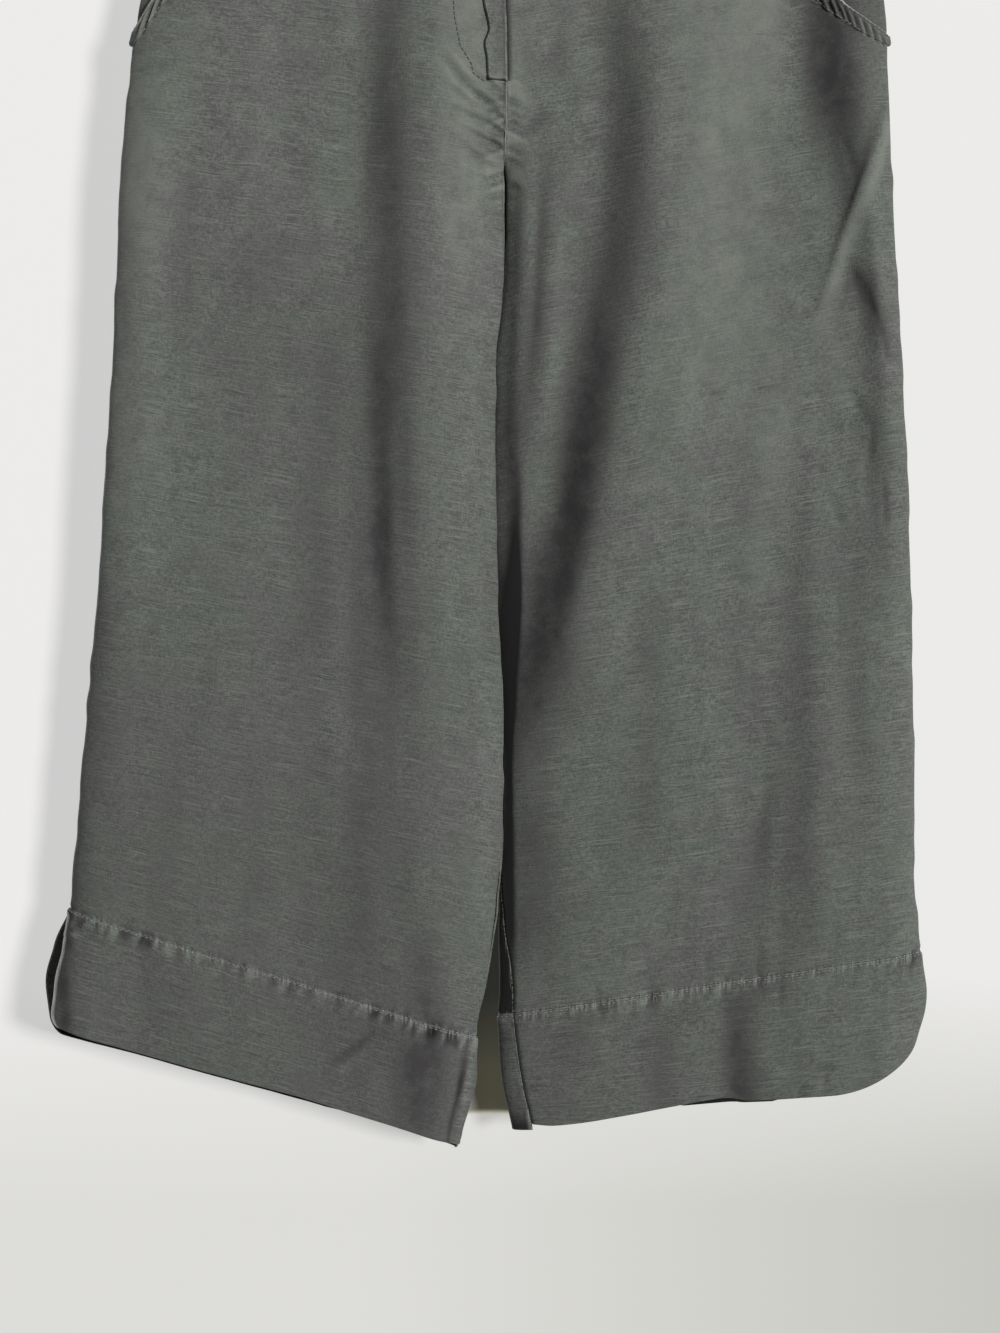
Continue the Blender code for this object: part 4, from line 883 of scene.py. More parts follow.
# where a piece ends at the centre seam or the inner leg seam
def innerEnd(leg, face, drops):
    half = seams["gap"] / 2
    end = np.where(drops < levels["crotch"] - 1e-6, 1.0, turnFromEdge(leg, face, 1, drops, half))
    if leg == "right":
        width = along(turnedSeams[leg], "width", drops)
        if face == "front":
            turned = turnFromEdge(leg, "front", 1, drops, width + half)
        else:
            turned = 2 - turnFromEdge(leg, "front", 1, drops, np.maximum(width - half, half))
        end = np.where(width > seams["gap"], turned, end)
    return end


# the front is cut away above the pocket's mouth
def pocketCut(leg, drops, start):
    mouth = turnAt(leg, along(pocketMouths[leg], "x", drops), drops)
    return np.where(drops < levels["pocketEnd"] - 1e-6, np.maximum(mouth, start), start)


# the linen's colours, with the painted shade and highlight colours of its folds and edges, and its weave's
# relief
linen = {
    "base": (0.110, 0.115, 0.105),
    "pale": (0.180, 0.188, 0.170),
    "dark": (0.058, 0.059, 0.057),
    "green": (0.097, 0.117, 0.093),
    "violet": (0.109, 0.105, 0.105),
    # hollow and deep are painted shade; highlightAndSlub is painted highlight and the slubs' pale;
    # wearAndHighlight is pale neps and stitch dots, and painted highlight on ticks; line is an edge paler by
    # rubbing, partly painted highlight
    "hollow": (0.045, 0.042, 0.043),
    "highlightAndSlub": (0.176, 0.188, 0.165),
    "wearAndHighlight": (0.290, 0.296, 0.276),
    "deep": (0.006, 0.0065, 0.006),
    "line": (0.380, 0.385, 0.365),
    "roughness": 0.88,
    "sheen": 0.10,
    "gloss": 0.25,
    "bump": 0.7,
    "bumpHeight": 0.0006,
    "threadSway": 0.0030,
}
# soft patches and grain in the dye: scale, detail and roughness
linenPatches = {
    "cloudy": (7.0, 4.0, 0.6),
    "mottled": (75.0, 5.0, 0.7),
    "patchy": (38.0, 3.0, 0.6),
    "grainy": (560.0, 1.0, 0.6),
}
# threads of the weave: scale across, scale down, detail and height
linenThreads = {
    "weft": (180.0, 1050.0, 3.0, 0.8),
    "warp": (1150.0, 240.0, 2.0, 0.6),
    "weftFine": (560.0, 1500.0, 2.0, 0.6),
    "slub": (34.0, 1250.0, 0.5, 0.5),
}
# what each pattern colours: where it starts, where it is full, how strong it is, and its colour
linenTones = [
    ("patchy", 0.47, 0.30, 0.20, "dark"),
    ("patchy", 0.53, 0.70, 0.13, "pale"),
    ("grainy", 0.50, 0.72, 0.46, "pale"),
    ("grainy", 0.50, 0.28, 0.58, "dark"),
    ("mottled", 0.50, 0.28, 0.62, "dark"),
    ("mottled", 0.50, 0.72, 0.40, "pale"),
    ("weft", 0.50, 0.72, 0.60, "pale"),
    ("weft", 0.50, 0.28, 0.75, "dark"),
    ("warp", 0.52, 0.76, 0.40, "pale"),
    ("warp", 0.48, 0.26, 0.50, "dark"),
    ("weftFine", 0.50, 0.80, 0.45, "pale"),
    ("weftFine", 0.50, 0.22, 0.55, "dark"),
]
slubTones = [(0.63, 0.70, 0.62, "highlightAndSlub"), (0.36, 0.29, 0.60, "dark")]
# Ranges give where a look starts and where it is full, then its strengths there if not 0 and 1
dyeLook = {
    "cloudyHue": 0.6,
    "patchyHue": 0.4,
    "hueByX": (-0.04, 0.04, -0.005, 0.045),
    "violetToGreen": (0.44, 0.56),
    "baseShare": 0.25,
    "threadsShow": (0.36, 0.62, 0.55, 1.25),
    "nepScale": 95.0,
    "nepSize": (0.070, 0.035),
    "nepsBeyond": 0.90,
}
# ranges of the painted fold shade and highlight, broken up by the mottled pattern
foldLook = {
    "uneven": (0.32, 0.68, 0.62, 1.34),
    "hollow": (0.0, 1.0, 0.0, 0.86),
    "deep": (1.0, 2.0, 0.0, 0.97),
    "crest": (0.0, -1.0, 0.0, 0.80),
}
# marks beside the edges: streaks give scale across, scale down, detail and scale through
edgeLook = {
    "near": (1.0, 0.25),
    "rubbedAndLit": (0.0, 1.0),
    "pinchStreaks": (300.0, 40.0, 1.0, 60.0),
    # pinched is painted shade in the gathers' hollows, ticked painted highlight on their crests
    "pinched": (0.47, 0.37, 0.0, 0.8),
    "tickStreaks": (620.0, 40.0, 1.0, 55.0),
    "ticked": (0.55, 0.63, 0.0, 0.50),
    "tickHeight": 1.6,
    "dotStreaks": (900.0, 40.0, 2.0, 700.0),
    "dotted": (0.42, 0.60, 0.0, 0.62),
    "seamLine": (0.17, 0.07),
    "wornAndLitRub": (1.0, 2.0),
    "wornAndLitReach": (0.8, 0.4),
    "shaded": (0.0, -1.0, 0.0, 0.9),
}


def node(tree, kind, values=None, **settings):
    made = tree.nodes.new(kind)
    for key, value in settings.items():
        setattr(made, key, value)
    for key, value in (values or {}).items():
        made.inputs[key].default_value = value
    return made


# links an output to a socket, or sets the socket to a number or a colour
def feed(tree, value, socket):
    if isinstance(value, (int, float)):
        socket.default_value = value
    elif isinstance(value, tuple):
        socket.default_value = (*value, 1.0)
    else:
        tree.links.new(value, socket)


def mathNode(tree, operation, first, second):
    made = node(tree, "ShaderNodeMath", operation=operation)
    feed(tree, first, made.inputs[0])
    feed(tree, second, made.inputs[1])
    return made.outputs[0]


def product(tree, *values):
    result = values[0]
    for value in values[1:]:
        result = mathNode(tree, "MULTIPLY", result, value)
    return result


def rangeNode(tree, value, low, high, toLow=0.0, toHigh=1.0):
    made = node(tree, "ShaderNodeMapRange", {1: low, 2: high, 3: toLow, 4: toHigh})
    tree.links.new(value, made.inputs[0])
    return made.outputs[0]


def mixColour(tree, share, first, second, blend="MIX"):
    made = node(tree, "ShaderNodeMix", data_type="RGBA", blend_type=blend)
    for number, value in ((0, share), (6, first), (7, second)):
        feed(tree, value, made.inputs[number])
    return made.outputs[2]


def noiseNode(tree, place, scale, detail, roughness=0.5, distortion=0.0):
    values = {"Scale": scale, "Detail": detail, "Roughness": roughness, "Distortion": distortion}
    made = node(tree, "ShaderNodeTexNoise", values)
    tree.links.new(place, made.inputs["Vector"])
    return made


def streaks(tree, weave, across, down, detail, through=1.0):
    spread = node(tree, "ShaderNodeMapping", {"Scale": (across, down, through)})
    tree.links.new(weave, spread.inputs["Vector"])
    return noiseNode(tree, spread.outputs[0], 1.0, detail, 0.6).outputs["Fac"]


def addBump(tree, shader, height, strength, distance):
    bump = node(tree, "ShaderNodeBump", {"Strength": strength, "Distance": distance})
    tree.links.new(height, bump.inputs["Height"])
    tree.links.new(bump.outputs[0], shader.inputs["Normal"])


def newMaterial(name, roughness):
    material = bpy.data.materials.new(name)
    material.use_nodes = True
    shader = material.node_tree.nodes["Principled BSDF"]
    shader.inputs["Roughness"].default_value = roughness
    return material, material.node_tree, shader


# threads never run quite straight
def swayedWeave(tree, place):
    reach = linen["threadSway"]
    drift = noiseNode(tree, place, 45.0, 2.0)
    sway = node(tree, "ShaderNodeVectorMath", {1: (reach, reach, 0.0)}, operation="MULTIPLY")
    tree.links.new(drift.outputs["Color"], sway.inputs[0])
    swayed = node(tree, "ShaderNodeVectorMath", operation="ADD")
    tree.links.new(node(tree, "ShaderNodeUVMap", uv_map="weave").outputs[0], swayed.inputs[0])
    tree.links.new(sway.outputs[0], swayed.inputs[1])
    return swayed.outputs[0]


# the dye, greener or more violet in patches and towards the sides, under threads and slubs
def linenDye(tree, place, patches, patterns):
    parts = node(tree, "ShaderNodeSeparateXYZ")
    tree.links.new(place, parts.inputs[0])
    cloudy = product(tree, patterns["cloudy"], dyeLook["cloudyHue"])
    patchy = product(tree, patterns["patchy"], dyeLook["patchyHue"])
    hue = mathNode(tree, "ADD", cloudy, patchy)
    hue = mathNode(tree, "ADD", hue, rangeNode(tree, parts.outputs[0], *dyeLook["hueByX"]))
    hue = rangeNode(tree, hue, *dyeLook["violetToGreen"])
    colour = mixColour(tree, hue, linen["violet"], linen["green"])
    colour = mixColour(tree, dyeLook["baseShare"], colour, linen["base"])
    showing = rangeNode(tree, patches["patchy"].outputs["Color"], *dyeLook["threadsShow"])
    for pattern, low, high, share, tone in linenTones:
        share = product(tree, rangeNode(tree, patterns[pattern], low, high, 0.0, share), showing)
        colour = mixColour(tree, share, colour, linen[tone])
    for low, high, share, tone in slubTones:
        share = rangeNode(tree, patterns["slub"], low, high, 0.0, share)
        colour = mixColour(tree, share, colour, linen[tone])

    neps = node(tree, "ShaderNodeTexVoronoi", {"Scale": dyeLook["nepScale"], "Randomness": 1.0})
    tree.links.new(place, neps.inputs["Vector"])
    spot = rangeNode(tree, neps.outputs["Distance"], *dyeLook["nepSize"])
    rare = mathNode(tree, "GREATER_THAN", neps.outputs["Color"], dyeLook["nepsBeyond"])
    return mixColour(tree, product(tree, spot, rare), colour, linen["wearAndHighlight"])


# painted shade in the folds' hollows and painted highlight on raised places
def linenFolds(tree, colour, mottled):
    tone = node(tree, "ShaderNodeAttribute", attribute_name="tone").outputs["Fac"]
    uneven = rangeNode(tree, mottled, *foldLook["uneven"])
    darker = product(tree, rangeNode(tree, tone, *foldLook["hollow"]), uneven)
    paler = product(tree, rangeNode(tree, tone, *foldLook["crest"]), uneven)
    colour = mixColour(tree, darker, colour, linen["hollow"])
    colour = mixColour(tree, rangeNode(tree, tone, *foldLook["deep"]), colour, linen["deep"])
    return mixColour(tree, paler, colour, linen["highlightAndSlub"])


# painted shade in pinches and along dark edges, painted highlight on ticks and on edges paler by rubbing,
# stitch dots, and how high the ticks stand
def linenEdges(tree, colour, place):
    look = edgeLook
    edge = node(tree, "ShaderNodeAttribute", attribute_name="edge").outputs["Fac"]
    rubAndShade = node(tree, "ShaderNodeAttribute", attribute_name="rubAndShade").outputs["Fac"]
    near, rubbedAndLit = rangeNode(tree, edge, *look["near"]), rangeNode(tree, rubAndShade, *look["rubbedAndLit"])
    pinch = streaks(tree, place, *look["pinchStreaks"])
    tick = streaks(tree, place, *look["tickStreaks"])
    dots = streaks(tree, place, *look["dotStreaks"])
    pinched = product(tree, rangeNode(tree, pinch, *look["pinched"]), near, rubbedAndLit)
    ticked = product(tree, rangeNode(tree, tick, *look["ticked"]), near, rubbedAndLit)
    dotted = rangeNode(tree, dots, *look["dotted"])
    dotted = product(tree, rangeNode(tree, edge, *look["seamLine"]), dotted, rubbedAndLit)
    wornAndLit = product(tree, rangeNode(tree, rubAndShade, *look["wornAndLitRub"]), rangeNode(tree, edge, *look["wornAndLitReach"]))
    shaded = product(tree, near, rangeNode(tree, rubAndShade, *look["shaded"]))
    for share, tone in (
        (pinched, "hollow"),
        (ticked, "wearAndHighlight"),
        (dotted, "wearAndHighlight"),
        (wornAndLit, "line"),
        (shaded, "deep"),
    ):
        colour = mixColour(tree, share, colour, linen[tone])
    return colour, product(tree, tick, near, rubbedAndLit, look["tickHeight"])


def makeLinen(name, tint=1.0):
    material, tree, shader = newMaterial(name, linen["roughness"])
    shader.inputs["Sheen Weight"].default_value = linen["sheen"]
    shader.inputs["Specular IOR Level"].default_value = linen["gloss"]
    place = node(tree, "ShaderNodeTexCoord").outputs["Object"]
    weave = swayedWeave(tree, place)
    patches = {kind: noiseNode(tree, place, *look) for kind, look in linenPatches.items()}
    patterns = {kind: patch.outputs["Fac"] for kind, patch in patches.items()}
    for kind, (across, down, detail, _) in linenThreads.items():
        patterns[kind] = streaks(tree, weave, across, down, detail)

    colour = linenDye(tree, place, patches, patterns)
    colour = linenFolds(tree, colour, patterns["mottled"])
    # a darker copy of the linen
    if tint != 1.0:
        colour = mixColour(tree, 1.0, colour, (tint, tint, tint), "MULTIPLY")
    colour, height = linenEdges(tree, colour, place)
    tree.links.new(colour, shader.inputs["Base Color"])
    for kind, (_, _, _, high) in linenThreads.items():
        height = mathNode(tree, "ADD", height, product(tree, patterns[kind], high))
    addBump(tree, shader, height, linen["bump"], linen["bumpHeight"])
    return material


threadLook = {
    "roughness": 0.7,
    "sheen": 0.1,
    "dye": ((0.150, 0.155, 0.142), (0.290, 0.296, 0.276)),
    "darkDye": ((0.030, 0.031, 0.029), (0.070, 0.072, 0.066)),
    "bump": 0.4,
    "bumpHeight": 0.0002,
}


def makeThread(name, dye):
    material, tree, shader = newMaterial(name, threadLook["roughness"])
    shader.inputs["Sheen Weight"].default_value = threadLook["sheen"]
    place = node(tree, "ShaderNodeTexCoord").outputs["Object"]
    fibres = noiseNode(tree, place, 240.0, 2.0).outputs["Fac"]
    tree.links.new(mixColour(tree, fibres, *dye), shader.inputs["Base Color"])
    addBump(tree, shader, fibres, threadLook["bump"], threadLook["bumpHeight"])
    return material


# the trim is a little darker; the inside pieces, seen in the pocket mouths and under the fly, are darker as
# painted shade
clothFinish = makeLinen("linen cloth")
trimFinish = makeLinen("linen trim", 0.95)
insideFinish = makeLinen("linen inside", 0.86)
threadFinish = makeThread("sewing thread", threadLook["dye"])
darkThread = makeThread("dark sewing thread", threadLook["darkDye"])
print("materials made")

# rows are closest together from the fly's end to below the crotch
panels = {
    "frontColumns": 130,
    "backColumns": 90,
    "rowsAt": (0.035, 0.150, 0.165, 0.300, 0.330, 0.860),
    "rowGaps": (0.0060, 0.0050, 0.0015, 0.0015, 0.0030, 0.0030),
    "backRowsShare": 0.75,
    "crowding": 1.3,
}


def panelDrops(leg, face):
    top = levels["waistSeam"] + seams["gap"] / 2
    low = levels["band"][leg] - seams["gap"] / 2
    fine = np.linspace(top, low, 2000)
    gaps = np.interp(fine, panels["rowsAt"], panels["rowGaps"])
    counts = np.cumsum(1.0 / gaps) * (fine[1] - fine[0])
    counts = counts - counts[0]
    rows = int(counts[-1] * (1.0 if face == "front" else panels["backRowsShare"]))
    return np.interp(np.linspace(0.0, counts[-1], rows), counts, fine)


# the centre seam and the inner leg seam are one edge
innerFinish = {
    ("left", "front"): "seam",
    ("left", "back"): "seam",
    ("right", "front"): ((0.0, "flyShadow"), (levels["flyEnd"], "crotchSeam"), (0.2740, "under")),
    ("right", "back"): "piping",
}
# the back cloth that turns forward between the legs lies in deep shade
gapShade = {"from": 0.725, "length": 0.040, "reach": 0.030, "centre": -0.002, "tone": 3.2}


def makePanel(leg, face):
    drops = panelDrops(leg, face)
    start, end = sideStart(leg, face, drops), innerEnd(leg, face, drops)
    if face == "front":
        start = pocketCut(leg, drops, start)
    inwards = panels["crowding"] if face == "front" else 1.0
    turns = spreadTurns(start, end, panels[face + "Columns"], inwards)
    rows = np.broadcast_to(drops[:, None], turns.shape)
    deepen = 0.0
    if (leg, face) == ("right", "back"):
        # painted shade on the turned back cloth between the legs
        away = clothPoint(leg, face, turns, rows)[..., 0] - gapShade["centre"]
        deepen = gapShade["tone"] * ease((rows - gapShade["from"]) / gapShade["length"])
        deepen = deepen * bell(away, gapShade["reach"]) * (turns > 1.0)
    finish = {"start": "tuck", "end": innerFinish[leg, face], "top": "tuck", "bottom": "aboveBand"}
    return clothPiece(f"panel_{face}_{leg}", leg, face, turns, rows, seams["wall"], clothFinish, finish,
                      deepen=deepen)


bands = {"columns": 240, "rows": 48, "crowding": 1.5}

# how far each hem rises above its straight line, by the share of the way from the side
hemRise = {
    "left": {
        "columns": ("share", "rise"),
        "rows": [
            (0.0, 0.0034),
            (0.05, 0.0022),
            (0.10, 0.0018),
            (0.35, 0.0020),
            (0.60, 0.0019),
            (0.72, 0.0010),
            (0.86, 0.0),
            (0.97, -0.0022),
            (1.0, -0.0022),
        ],
    },
    "right": {
        "columns": ("share", "rise"),
        "rows": [
            (0.0, 0.0040),
            (0.187, 0.0042),
            (0.341, 0.0050),
            (0.418, 0.0056),
            (0.480, 0.0084),
            (0.542, 0.0077),
            (0.648, 0.0052),
            (0.740, 0.0032),
            (0.839, 0.0010),
            (0.900, 0.0004),
            (0.958, 0.0018),
            (1.0, -0.0020),
        ],
    },
}
# where a back hem hangs lower and shows its inside in painted shade: the place, how wide, how far, and its
# most rise
hemPeek = {"left": (0.32, 0.50, 0.0087, 0.01), "right": (0.46, 0.160, 0.0077, 0.0068)}
peekSpread = 1.6
insideShade = {"from": 0.90, "length": 0.06, "tone": 3.2}


def makeBand(leg, face):
    top = levels["band"][leg] + seams["gap"] / 2
    tall = levels["hem"][leg] - top
    steps = np.linspace(0.0, 1.0, bands["rows"])
    drops = top + tall * (1 - (1 - steps) ** bands["crowding"])
    progress = ((drops - top) / tall)[:, None]
    turns = spreadTurns(sideStart(leg, face, drops), innerEnd(leg, face, drops), bands["columns"])
    share = (1 - np.cos(math.pi * np.clip(turns, 0.0, 1.0))) / 2
    rise = along(hemRise[leg], "rise", share)
    slit = "slit" if (leg, face) == ("left", "front") else "hem"
    finish = {"start": slit, "end": innerFinish[leg, face], "top": "bandTop", "bottom": "hem"}
    sink = deepen = 0.0
    if face == "back":
        place, wide, peek, highest = hemPeek[leg]
        rise = np.minimum(rise, highest)
        sink = peek * np.minimum(peekSpread * bell(share - place, wide), 1.0) * progress ** 2
        # painted shade on the inside of the band's lowest rows
        inside = insideShade["tone"] * ease((progress - insideShade["from"]) / insideShade["length"])
        inside = np.broadcast_to(inside, share.shape)
        deepen = np.stack([np.zeros_like(inside), inside])
        finish["bottom"] = "backHem"
    rows = drops[:, None] - rise * progress ** 2
    return clothPiece(f"band_{face}_{leg}", leg, face, turns, rows, seams["hemWall"], trimFinish, finish,
                      deepen=deepen, sink=sink)


pockets = {
    "edgeColumns": 24,
    "edgeRows": 260,
    "hipColumns": 44,
    "hipRows": 96,
    "hipReach": 0.016,
    "settle": 0.7,
    "thinning": 0.7,
    "thinFrom": 0.45,
}


def makePocketEdge(leg):
    drops = np.linspace(levels["waistSeam"] + seams["gap"] / 2, levels["pocketStitch"], pockets["edgeRows"])
    start = pocketCut(leg, drops, sideStart(leg, "front", drops))
    stitch = turnAt(leg, along(pocketMouths[leg], "stitchX", drops), drops)
    turns = spreadTurns(start, np.maximum(stitch, start + 0.01), pockets["edgeColumns"])
    rows = np.broadcast_to(drops[:, None], turns.shape)
    shares = (turns - turns[:, :1]) / (turns[:, -1:] - turns[:, :1])
    thinned = ease((shares - pockets["thinFrom"]) / (1 - pockets["thinFrom"]))
    thick = seams["trim"] * (1 - pockets["thinning"] * thinned)
    finish = {"start": "mouth", "end": "tuck", "top": "seam", "bottom": "fold"}
    return clothPiece(f"pocket_edge_{leg}", leg, "front", turns, rows, thick, trimFinish, finish,
                      lift=seams["gap"] + thick)


def makeHip(leg):
    top = levels["waistSeam"] + seams["gap"] / 2
    drops = np.linspace(top, levels["pocketEnd"] - 0.001, pockets["hipRows"])
    side = turnFromEdge(leg, "front", 0, drops, seams["gap"] / 2)
    mouth = np.maximum(turnAt(leg, along(pocketMouths[leg], "x", drops), drops), side)
    turns = spreadTurns(side, mouth + pockets["hipReach"], pockets["hipColumns"])
    rows = np.broadcast_to(drops[:, None], turns.shape)
    reach = np.maximum(mouth - side, 1e-4)[:, None]
    lift = -(seams["solidWall"] + seams["gap"]) * ease((turns - side[:, None]) / reach / pockets["settle"])
    finish = {"start": "seam", "end": "plain", "top": "seam", "bottom": "plain"}
    return clothPiece(f"hip_{leg}", leg, "front", turns, rows, seams["wall"], insideFinish, finish,
                      lift=lift)


pieces = {}
for legName in ("left", "right"):
    for faceName in ("front", "back"):
        pieces[f"{faceName}_{legName}"] = makePanel(legName, faceName)
        pieces[f"hem_{faceName}_{legName}"] = makeBand(legName, faceName)
    pieces[f"pocket_edge_{legName}"] = makePocketEdge(legName)
    pieces[f"hip_{legName}"] = makeHip(legName)
print("panels, bands and pockets made")

# the fly's strip, its underlap and the waistband cross the centre, so they take points from both legs
fly = {"overlap": 0.0010, "guardReach": 0.0240, "stripColumns": 18, "guardColumns": 22, "rows": 180}
flyEdge = {
    "columns": ("drop", "x"),
    "rows": [
        (0.0350, -0.0138),
        (0.0900, -0.0142),
        (0.1615, -0.0145),
        (0.1816, -0.0114),
        (0.1916, -0.0145),
        (0.2017, -0.0131),
        (0.2165, -0.0126),
    ],
}


# outer points and outward directions across the front, by x
def frontAt(x, drop):
    centre = along(outlines["left"], "innerX", drop)
    points, outward = np.zeros(x.shape + (3,)), np.zeros(x.shape + (3,))
    relief, tone = np.zeros(x.shape), np.zeros(x.shape)
    for leg, chosen in (("left", x <= centre), ("right", x > centre)):
        turns = turnAt(leg, x, drop)
        found = clothPoint(leg, "front", turns, drop)
        points = np.where(chosen[..., None], found, points)
        outward = np.where(chosen[..., None], -clothInward(leg, "front", turns, drop), outward)
        height, shade = reliefAt(leg, np.full(x.shape, True), x, drop, drop)
        relief, tone = np.where(chosen, height, relief), np.where(chosen, shade, tone)
    points[..., 0] = x
    return points, outward, relief, tone


# a strip between two edges, which are given by their x from the centre line
def frontStrip(name, firstX, lastX, drops, columns, look):
    centre = along(outlines["left"], "innerX", drops)[:, None]
    shares = np.linspace(0.0, 1.0, columns)[None, :]
    x = centre + firstX[:, None] * (1 - shares) + lastX[:, None] * shares
    rows = np.broadcast_to(drops[:, None], x.shape)
    points, outward, relief, tone = frontAt(x, rows)
    weave = np.stack([x, rows], axis=-1)
    return finishPiece(name, points, outward, rows, weave, {"relief": relief, "tone": tone, **look})


flyDrops = np.linspace(levels["waistSeam"] + seams["gap"] / 2, levels["flyEnd"], fly["rows"])
evenLine = np.ones(flyDrops.shape)
stripLook = {
    "finish": {"start": "lip", "end": "fold", "top": "tuck", "bottom": "lip"},
    "lift": seams["gap"] + seams["trim"],
    "wall": seams["trim"],
    "material": trimFinish,
}
guardLook = {
    "finish": {"start": "plain", "end": "plain", "top": "plain", "bottom": "plain"},
    "lift": -(seams["solidWall"] + seams["gap"]),
    "wall": seams["wall"],
    "material": insideFinish,
}
pieces["fly_band"] = frontStrip("fly_band_strip", along(flyEdge, "x", flyDrops), fly["overlap"] * evenLine,
                                flyDrops, fly["stripColumns"], stripLook)
pieces["fly_guard"] = frontStrip("fly_underlap", -fly["guardReach"] * evenLine, fly["guardReach"] * evenLine,
                                 flyDrops, fly["guardColumns"], guardLook)

waist = {
    "proud": 0.0006,
    "wall": 0.0022,
    "lapEnd": 0.0010,
    "underlapStart": 0.0220,
    "underlapSlope": 0.0150,
    "underlapEnd": -0.030,
    "underlapShift": 0.0026,
    "frontReach": 0.170,
    "rows": 20,
    "frontStations": 70,
    "sideStations": 14,
    "backStations": 80,
    "lapStations": 90,
    "sideTurnAt": 0.02,
    "reliefShare": 0.5,
    "rippleCells": (0.009, 0.03),
    "rippleHeight": 0.0003,
    "rippleShadeAndHighlight": -0.3,
    "rippleSeed": 91,
    "rippleIn": 0.002,
    "rippleReach": (0.006, 0.005),
}


# stations round the waist from the lap's end to the underlap's end
def waistStations():
    reach, sides, backs = waist["frontReach"], waist["sideStations"], waist["backStations"]
    leftTurn = float(turnAt("left", -reach, waist["sideTurnAt"]))
    rightTurn = float(turnAt("right", reach, waist["sideTurnAt"]))
    stations = [("front", x, 0.0) for x in np.linspace(waist["lapEnd"], -reach, waist["frontStations"])]
    for place, first, last, count in (
        ("left front", leftTurn, 0.0, sides),
        ("left back", 0.0, 1.0, backs),
        ("right back", 1.0, 0.0, backs),
        ("right front", 0.0, rightTurn, sides),
    ):
        stations += [(place, turn, 0.0) for turn in np.linspace(first, last, count)[1:-1]]
    for x in np.linspace(reach, waist["underlapEnd"], waist["lapStations"]):
        sink = float(ease((waist["underlapStart"] - x) / waist["underlapSlope"]))
        stations.append(("front", x, waist["underlapShift"] * sink))
    return stations


def makeWaistband():
    drops = np.linspace(0.0, levels["waistSeam"] - seams["gap"] / 2, waist["rows"])
    points, outward, shifts, relief = [], [], [], []
    for place, where, shift in waistStations():
        if place == "front":
            found, out, height, _ = frontAt(np.full(drops.shape, where), drops)
        else:
            leg, face = place.split()
            turns = np.full(drops.shape, where)
            found = clothPoint(leg, face, turns, drops)
            out = -clothInward(leg, face, turns, drops)
            height, _ = reliefAt(leg, np.full(drops.shape, face == "front"), found[:, 0], drops, drops)
        points.append(found)
        outward.append(out)
        shifts.append(np.full(drops.shape, shift))
        relief.append(height)
    points, outward = np.array(points), np.array(outward)
    aroundWaist, up = lengthsFrom(points, 0), lengthsFrom(points, 1)
    ripple = unevenness(aroundWaist, up, *waist["rippleCells"], waist["rippleSeed"])
    lowReach, topReach = waist["rippleReach"]
    beside = bell(up[:, -1:] - up - waist["rippleIn"], lowReach) + bell(up - waist["rippleIn"], topReach)
    ripple = ripple * beside
    look = {
        "relief": np.array(relief) * waist["reliefShare"] + waist["rippleHeight"] * ripple,
        "finish": {"top": "fold", "bottom": "fold", "start": "fold", "end": "seam"},
        # painted highlight on the raised ripples and painted shade in the sunk ones
        "tone": waist["rippleShadeAndHighlight"] * ripple,
        "lift": waist["proud"] - np.array(shifts),
        "wall": waist["wall"],
        "material": trimFinish,
    }
    weave = np.stack([aroundWaist, up], axis=-1)
    return finishPiece("waistband_cloth", points, outward, up, weave, look)


pieces["waistband"] = makeWaistband()
print("fly and waistband made")

# each stitch is a small tube on five sides: rings along it, how thick it is there and how high it lies
stitches = {
    "pitch": 0.0036,
    "length": 0.0027,
    "radius": 0.00026,
    "sides": 5,
    "slopeStep": 0.0004,
    "rings": [(-0.5, 0.35, -0.9), (-0.28, 1.0, 0.35), (0.28, 1.0, 0.35), (0.5, 0.35, -0.9)],
}


def atPlaces(values, lengths, places):
    return np.stack([np.interp(places, lengths, values[:, k]) for k in range(3)], axis=1)


# small raised stitches along lines of points on the cloth, joined in one mesh
def stitchLine(name, lines, thread, size=1.0, longer=1.0):
    sides, rings = stitches["sides"], stitches["rings"]
    angles = np.linspace(0.0, 2 * math.pi, sides, endpoint=False)
    radius = stitches["radius"] * size
    vertices, faces = [], []
    for points, outward in lines:
        steps = np.linalg.norm(np.diff(points, axis=0), axis=1)
        length = np.concatenate([[0.0], np.cumsum(steps)])
        count = max(1, int(length[-1] / stitches["pitch"]))
        centres = (np.arange(count) + 0.5) * stitches["pitch"]
        at = atPlaces(points, length, centres)
        forward = atPlaces(points, length, centres + stitches["slopeStep"])
        forward -= atPlaces(points, length, centres - stitches["slopeStep"])
        forward /= np.linalg.norm(forward, axis=1, keepdims=True)
        up = atPlaces(outward, length, centres)
        up -= forward * np.sum(up * forward, axis=1, keepdims=True)
        up /= np.linalg.norm(up, axis=1, keepdims=True)
        aside = np.cross(forward, up)
        for k in range(count):
            first = len(vertices)
            for share, wide, high in rings:
                ring = at[k] + forward[k] * share * stitches["length"] * longer + up[k] * high * radius
                for angle in angles:
                    spoke = up[k] * math.sin(angle) + aside[k] * math.cos(angle)
                    vertices.append(ring + spoke * radius * wide)
            for ringStart in range(first, first + (len(rings) - 1) * sides, sides):
                for side in range(sides):
                    a, b = ringStart + side, ringStart + (side + 1) % sides
                    faces.append([a, b, b + sides, a + sides])
            faces.append([first + side for side in reversed(range(sides))])
            faces.append([len(vertices) - sides + side for side in range(sides)])
    mesh = bpy.data.meshes.new(name)
    mesh.from_pydata([tuple(v) for v in vertices], [], faces)
    mesh.update()
    mesh.shade_smooth()
    mesh.materials.append(thread)
    return addThing(name, mesh)


